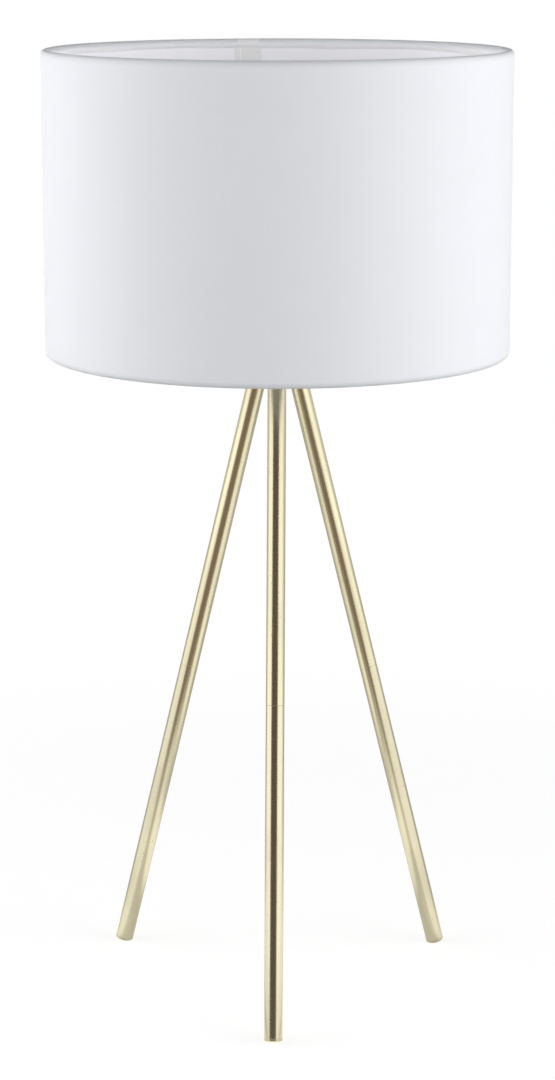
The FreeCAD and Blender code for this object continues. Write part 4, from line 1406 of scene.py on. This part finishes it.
@dataclass
class SoftBox:
    """A tall soft light beside the lamp; one that fills lights the cloth but stays out of the gloss."""

    name: str
    first: float
    last: float
    distance: float
    radiance: float
    fills: bool = False
    low: float = 0.03
    high: float = 1.35

    def build(self) -> None:
        """Stand the light between its two bearings, facing the lamp.

        A bearing is in degrees from the photograph's side, positive to the right.
        """
        ends = [Vector((math.sin(bearing), -math.cos(bearing), 0.0)) * self.distance
                for bearing in map(math.radians, (self.first, self.last))]
        width = (ends[1] - ends[0]).length
        height = self.high - self.low
        light = bpy.data.lights.new(self.name, "AREA")
        light.shape = "RECTANGLE"
        light.size, light.size_y = width, height
        light.energy = self.radiance * math.pi * width * height
        lamp = bpy.data.objects.new(self.name, light)
        bpy.context.scene.collection.objects.link(lamp)
        middle = (ends[0] + ends[1]) / 2
        lamp.location = (middle.x, middle.y, (self.low + self.high) / 2)
        lamp.rotation_euler = (-middle).to_track_quat("-Z", "Y").to_euler()
        lamp.visible_glossy = not self.fills


@dataclass
class ClothGlow:
    """Soft light inside the shade: the part of a side light that comes through the cloth."""

    name: str
    place: tuple[float, float, float]
    power: float
    radius: float = 0.04

    def build(self) -> None:
        """Hang the light, unseen by camera and gloss."""
        light = bpy.data.lights.new(self.name, "POINT")
        light.energy = self.power
        light.shadow_soft_size = self.radius
        lamp = bpy.data.objects.new(self.name, light)
        lamp.location = self.place
        lamp.visible_camera = lamp.visible_glossy = False
        bpy.context.scene.collection.objects.link(lamp)


@dataclass
class Studio:
    """Floor, surroundings, lights and the camera."""

    orbit: float = 1.24
    distance: float = 1.8567
    eye_height: float = 0.7070
    pitch: float = 12.35
    lens: float = 96.30
    ambient: float = 0.73
    overhead: float = 0.15
    floor_size: float = 9.0
    card_distance: float = 2.6
    card_colour: Colour = (0.15, 0.12, 0.105)
    # Painted reflection: the dark warm room that the floor shows in gloss in front of the lamp.
    floor_reflection_colour: Colour = (0.305, 0.245, 0.20)
    table_radius: float = 0.34
    table_glow: float = 0.8
    # Painted reflections of the soft boxes in the floor's gloss: bearings and brightness.
    gloss_sides: tuple[tuple[float, float, float], ...] = ((33.0, 112.0, 1.4), (-115.0, -45.0, 1.35))
    gloss_edge: float = 4.0

    def white_for_camera(self, graph: Graph) -> Wire:
        """1 where a ray comes from the camera, a gloss or glass."""
        seen = [graph.ray(kind) for kind in ("Camera", "Glossy", "Transmission")]
        return (seen[0] + seen[1] + seen[2]).clamped()

    def surroundings(self) -> None:
        """White to look at; on the lamp a soft light that dims towards the ceiling."""
        world = bpy.data.worlds.new("studio_world")
        bpy.context.scene.world = world
        world.use_nodes = True
        graph = Graph.for_world(world)
        white = self.white_for_camera(graph)
        upward = graph.parts(graph.add("ShaderNodeTexCoord", {}, {}, "Generated"))[2]
        dim = (1.0 - upward.between(0.05, 0.75) * (1.0 - self.overhead)) * self.ambient
        strength = white * (1.0 - dim) + dim
        background = graph.add("ShaderNodeBackground", {}, {"Color": WHITE, "Strength": strength})
        graph.output(background, "ShaderNodeOutputWorld")

    def painted_floor_reflection(self, graph: Graph, away: Wire) -> Wire:
        """Painted reflections that polished metal sees in the floor, which glows only for gloss rays: a bright
        table round the lamp, darker in a stripe on each side, and round it the room and the soft boxes by their
        bearing.

        Args:
            graph: The floor's graph.
            away: The distance from the lamp's axis in metres.

        Returns:
            The colour.
        """
        right, back, _ = graph.parts(graph.place())
        bearing = right.math("ARCTAN2", back * -1.0) * (180.0 / math.pi)
        colour = graph.blend(bearing.size().between(90.0, 120.0), self.floor_reflection_colour, (0.62, 0.62, 0.60))
        for low, high, brightness in self.gloss_sides:
            begins, ends = (bearing.between(side - self.gloss_edge, side + self.gloss_edge) for side in (low, high))
            colour = graph.blend(begins * (1.0 - ends), colour, (brightness,) * 3)
        # Painted reflection: a bright table round the lamp, darker in a stripe on each side.
        table = 1.0 - away.between(0.02, self.table_radius)
        aside = right.size()
        reflection_stripe = aside.between(0.035, 0.060) * (1.0 - aside.between(0.112, 0.132))
        level = 1.5 - reflection_stripe * 0.62
        table_reflection_colour = graph.add("ShaderNodeCombineXYZ", {},
                                 {"X": level, "Y": level * 0.99, "Z": level * 0.95})
        return graph.blend(table, colour, table_reflection_colour)

    def floor(self) -> None:
        """A pale floor that shows white, keeps the lamp's shadow and is clear from below."""
        half = self.floor_size / 2
        floor = panel("floor", [(x, y, 0.0) for x, y in
                                ((-half, -half), (half, -half), (half, half), (-half, half))])
        graph = Graph("pale_floor")
        grain = graph.noise((400.0, 400.0, 400.0), detail=2.0)
        plain = graph.add("ShaderNodeBsdfDiffuse", {},
                          {"Color": graph.blend(grain, (0.49, 0.49, 0.49), (0.51, 0.51, 0.51))})
        thin = graph.add("ShaderNodeBsdfDiffuse", {}, {"Color": (0.30, 0.30, 0.30, 1.0)})
        near = graph.add("ShaderNodeAddShader", {}, {0: thin, 1: graph.emission(strength=self.table_glow)})
        away = graph.length(graph.place())
        shown = graph.mix(away.between(0.25, 0.9), near, graph.emission())
        # Rays other than the camera's see a plain floor; gloss rays see it glow with the painted reflections.
        hidden = graph.mix(graph.ray("Glossy"), plain, graph.emission(self.painted_floor_reflection(graph, away)))
        above = graph.mix(graph.ray("Camera"), hidden, shown)
        below = graph.add("ShaderNodeNewGeometry", {}, {}, "Backfacing")
        graph.output(graph.mix(below, above, graph.add("ShaderNodeBsdfTransparent", {}, {})))
        floor.data.materials.append(graph.material)

    def dark_card(self) -> None:
        """The dark side of the room behind the camera, which only gloss shows."""
        y = -self.card_distance
        card = panel("dark_side", ((-2.6, y, 0.02), (1.7, y, 0.02), (1.7, y, 3.2), (-2.6, y, 3.2)))
        graph = Graph("dark_side")
        graph.output(graph.emission((*self.card_colour, 1.0)))
        card.data.materials.append(graph.material)
        for kind in ("camera", "diffuse", "transmission", "volume_scatter", "shadow"):
            setattr(card, f"visible_{kind}", False)

    def camera(self) -> None:
        """The photograph's viewpoint."""
        data = bpy.data.cameras.new("camera")
        data.lens = self.lens
        data.sensor_width = 36.0
        data.clip_end = 30.0
        camera = bpy.data.objects.new("camera", data)
        bpy.context.scene.collection.objects.link(camera)
        orbit = math.radians(self.orbit)
        camera.location = (self.distance * math.sin(orbit), -self.distance * math.cos(orbit), self.eye_height)
        camera.rotation_euler = (math.radians(90.0 - self.pitch), 0.0, orbit)
        bpy.context.scene.camera = camera

    def build(self) -> None:
        """Set up the studio."""
        self.surroundings()
        self.floor()
        self.dark_card()
        for light in (SoftBox("soft_box_right", 33.0, 92.0, 1.5, 0.64),
                      SoftBox("soft_box_left", -45.0, -100.0, 1.6, 0.62),
                      SoftBox("side_right", 33.0, 92.0, 1.56, 0.58, fills=True),
                      SoftBox("side_left", -45.0, -100.0, 1.67, 0.62, fills=True),
                      SoftBox("fill_right", 50.0, 105.0, 1.5, 1.23, fills=True),
                      SoftBox("fill_left", -65.0, -125.0, 1.5, 1.33, fills=True),
                      SoftBox("front_right", 20.0, 60.0, 1.9, 0.48, fills=True),
                      SoftBox("front_left", -20.0, -60.0, 1.9, 0.58, fills=True),
                      ClothGlow("cloth_glow_right", (0.085, 0.0, 0.56), 0.06),
                      ClothGlow("cloth_glow_left", (-0.085, 0.0, 0.56), 0.06)):
            light.build()
        self.camera()
        bpy.context.scene.view_settings.view_transform = "Standard"


def main() -> None:
    """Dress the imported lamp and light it."""
    logging.basicConfig(level=logging.INFO, format="%(message)s")
    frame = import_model()
    nodes = frame["nodes"]
    tripod = Tripod(nodes)
    for assembly in (tripod, Hub(nodes, tripod=tripod), Lampholder(nodes), TurnSwitch(nodes), RingNut(nodes),
                     Bulb(nodes), Shade(nodes), Fitter(nodes)):
        LOG.info("-- %s", type(assembly).__name__)
        assembly.build()
    Studio().build()
    bpy.context.view_layer.update()


if __name__ == "__main__":
    main()
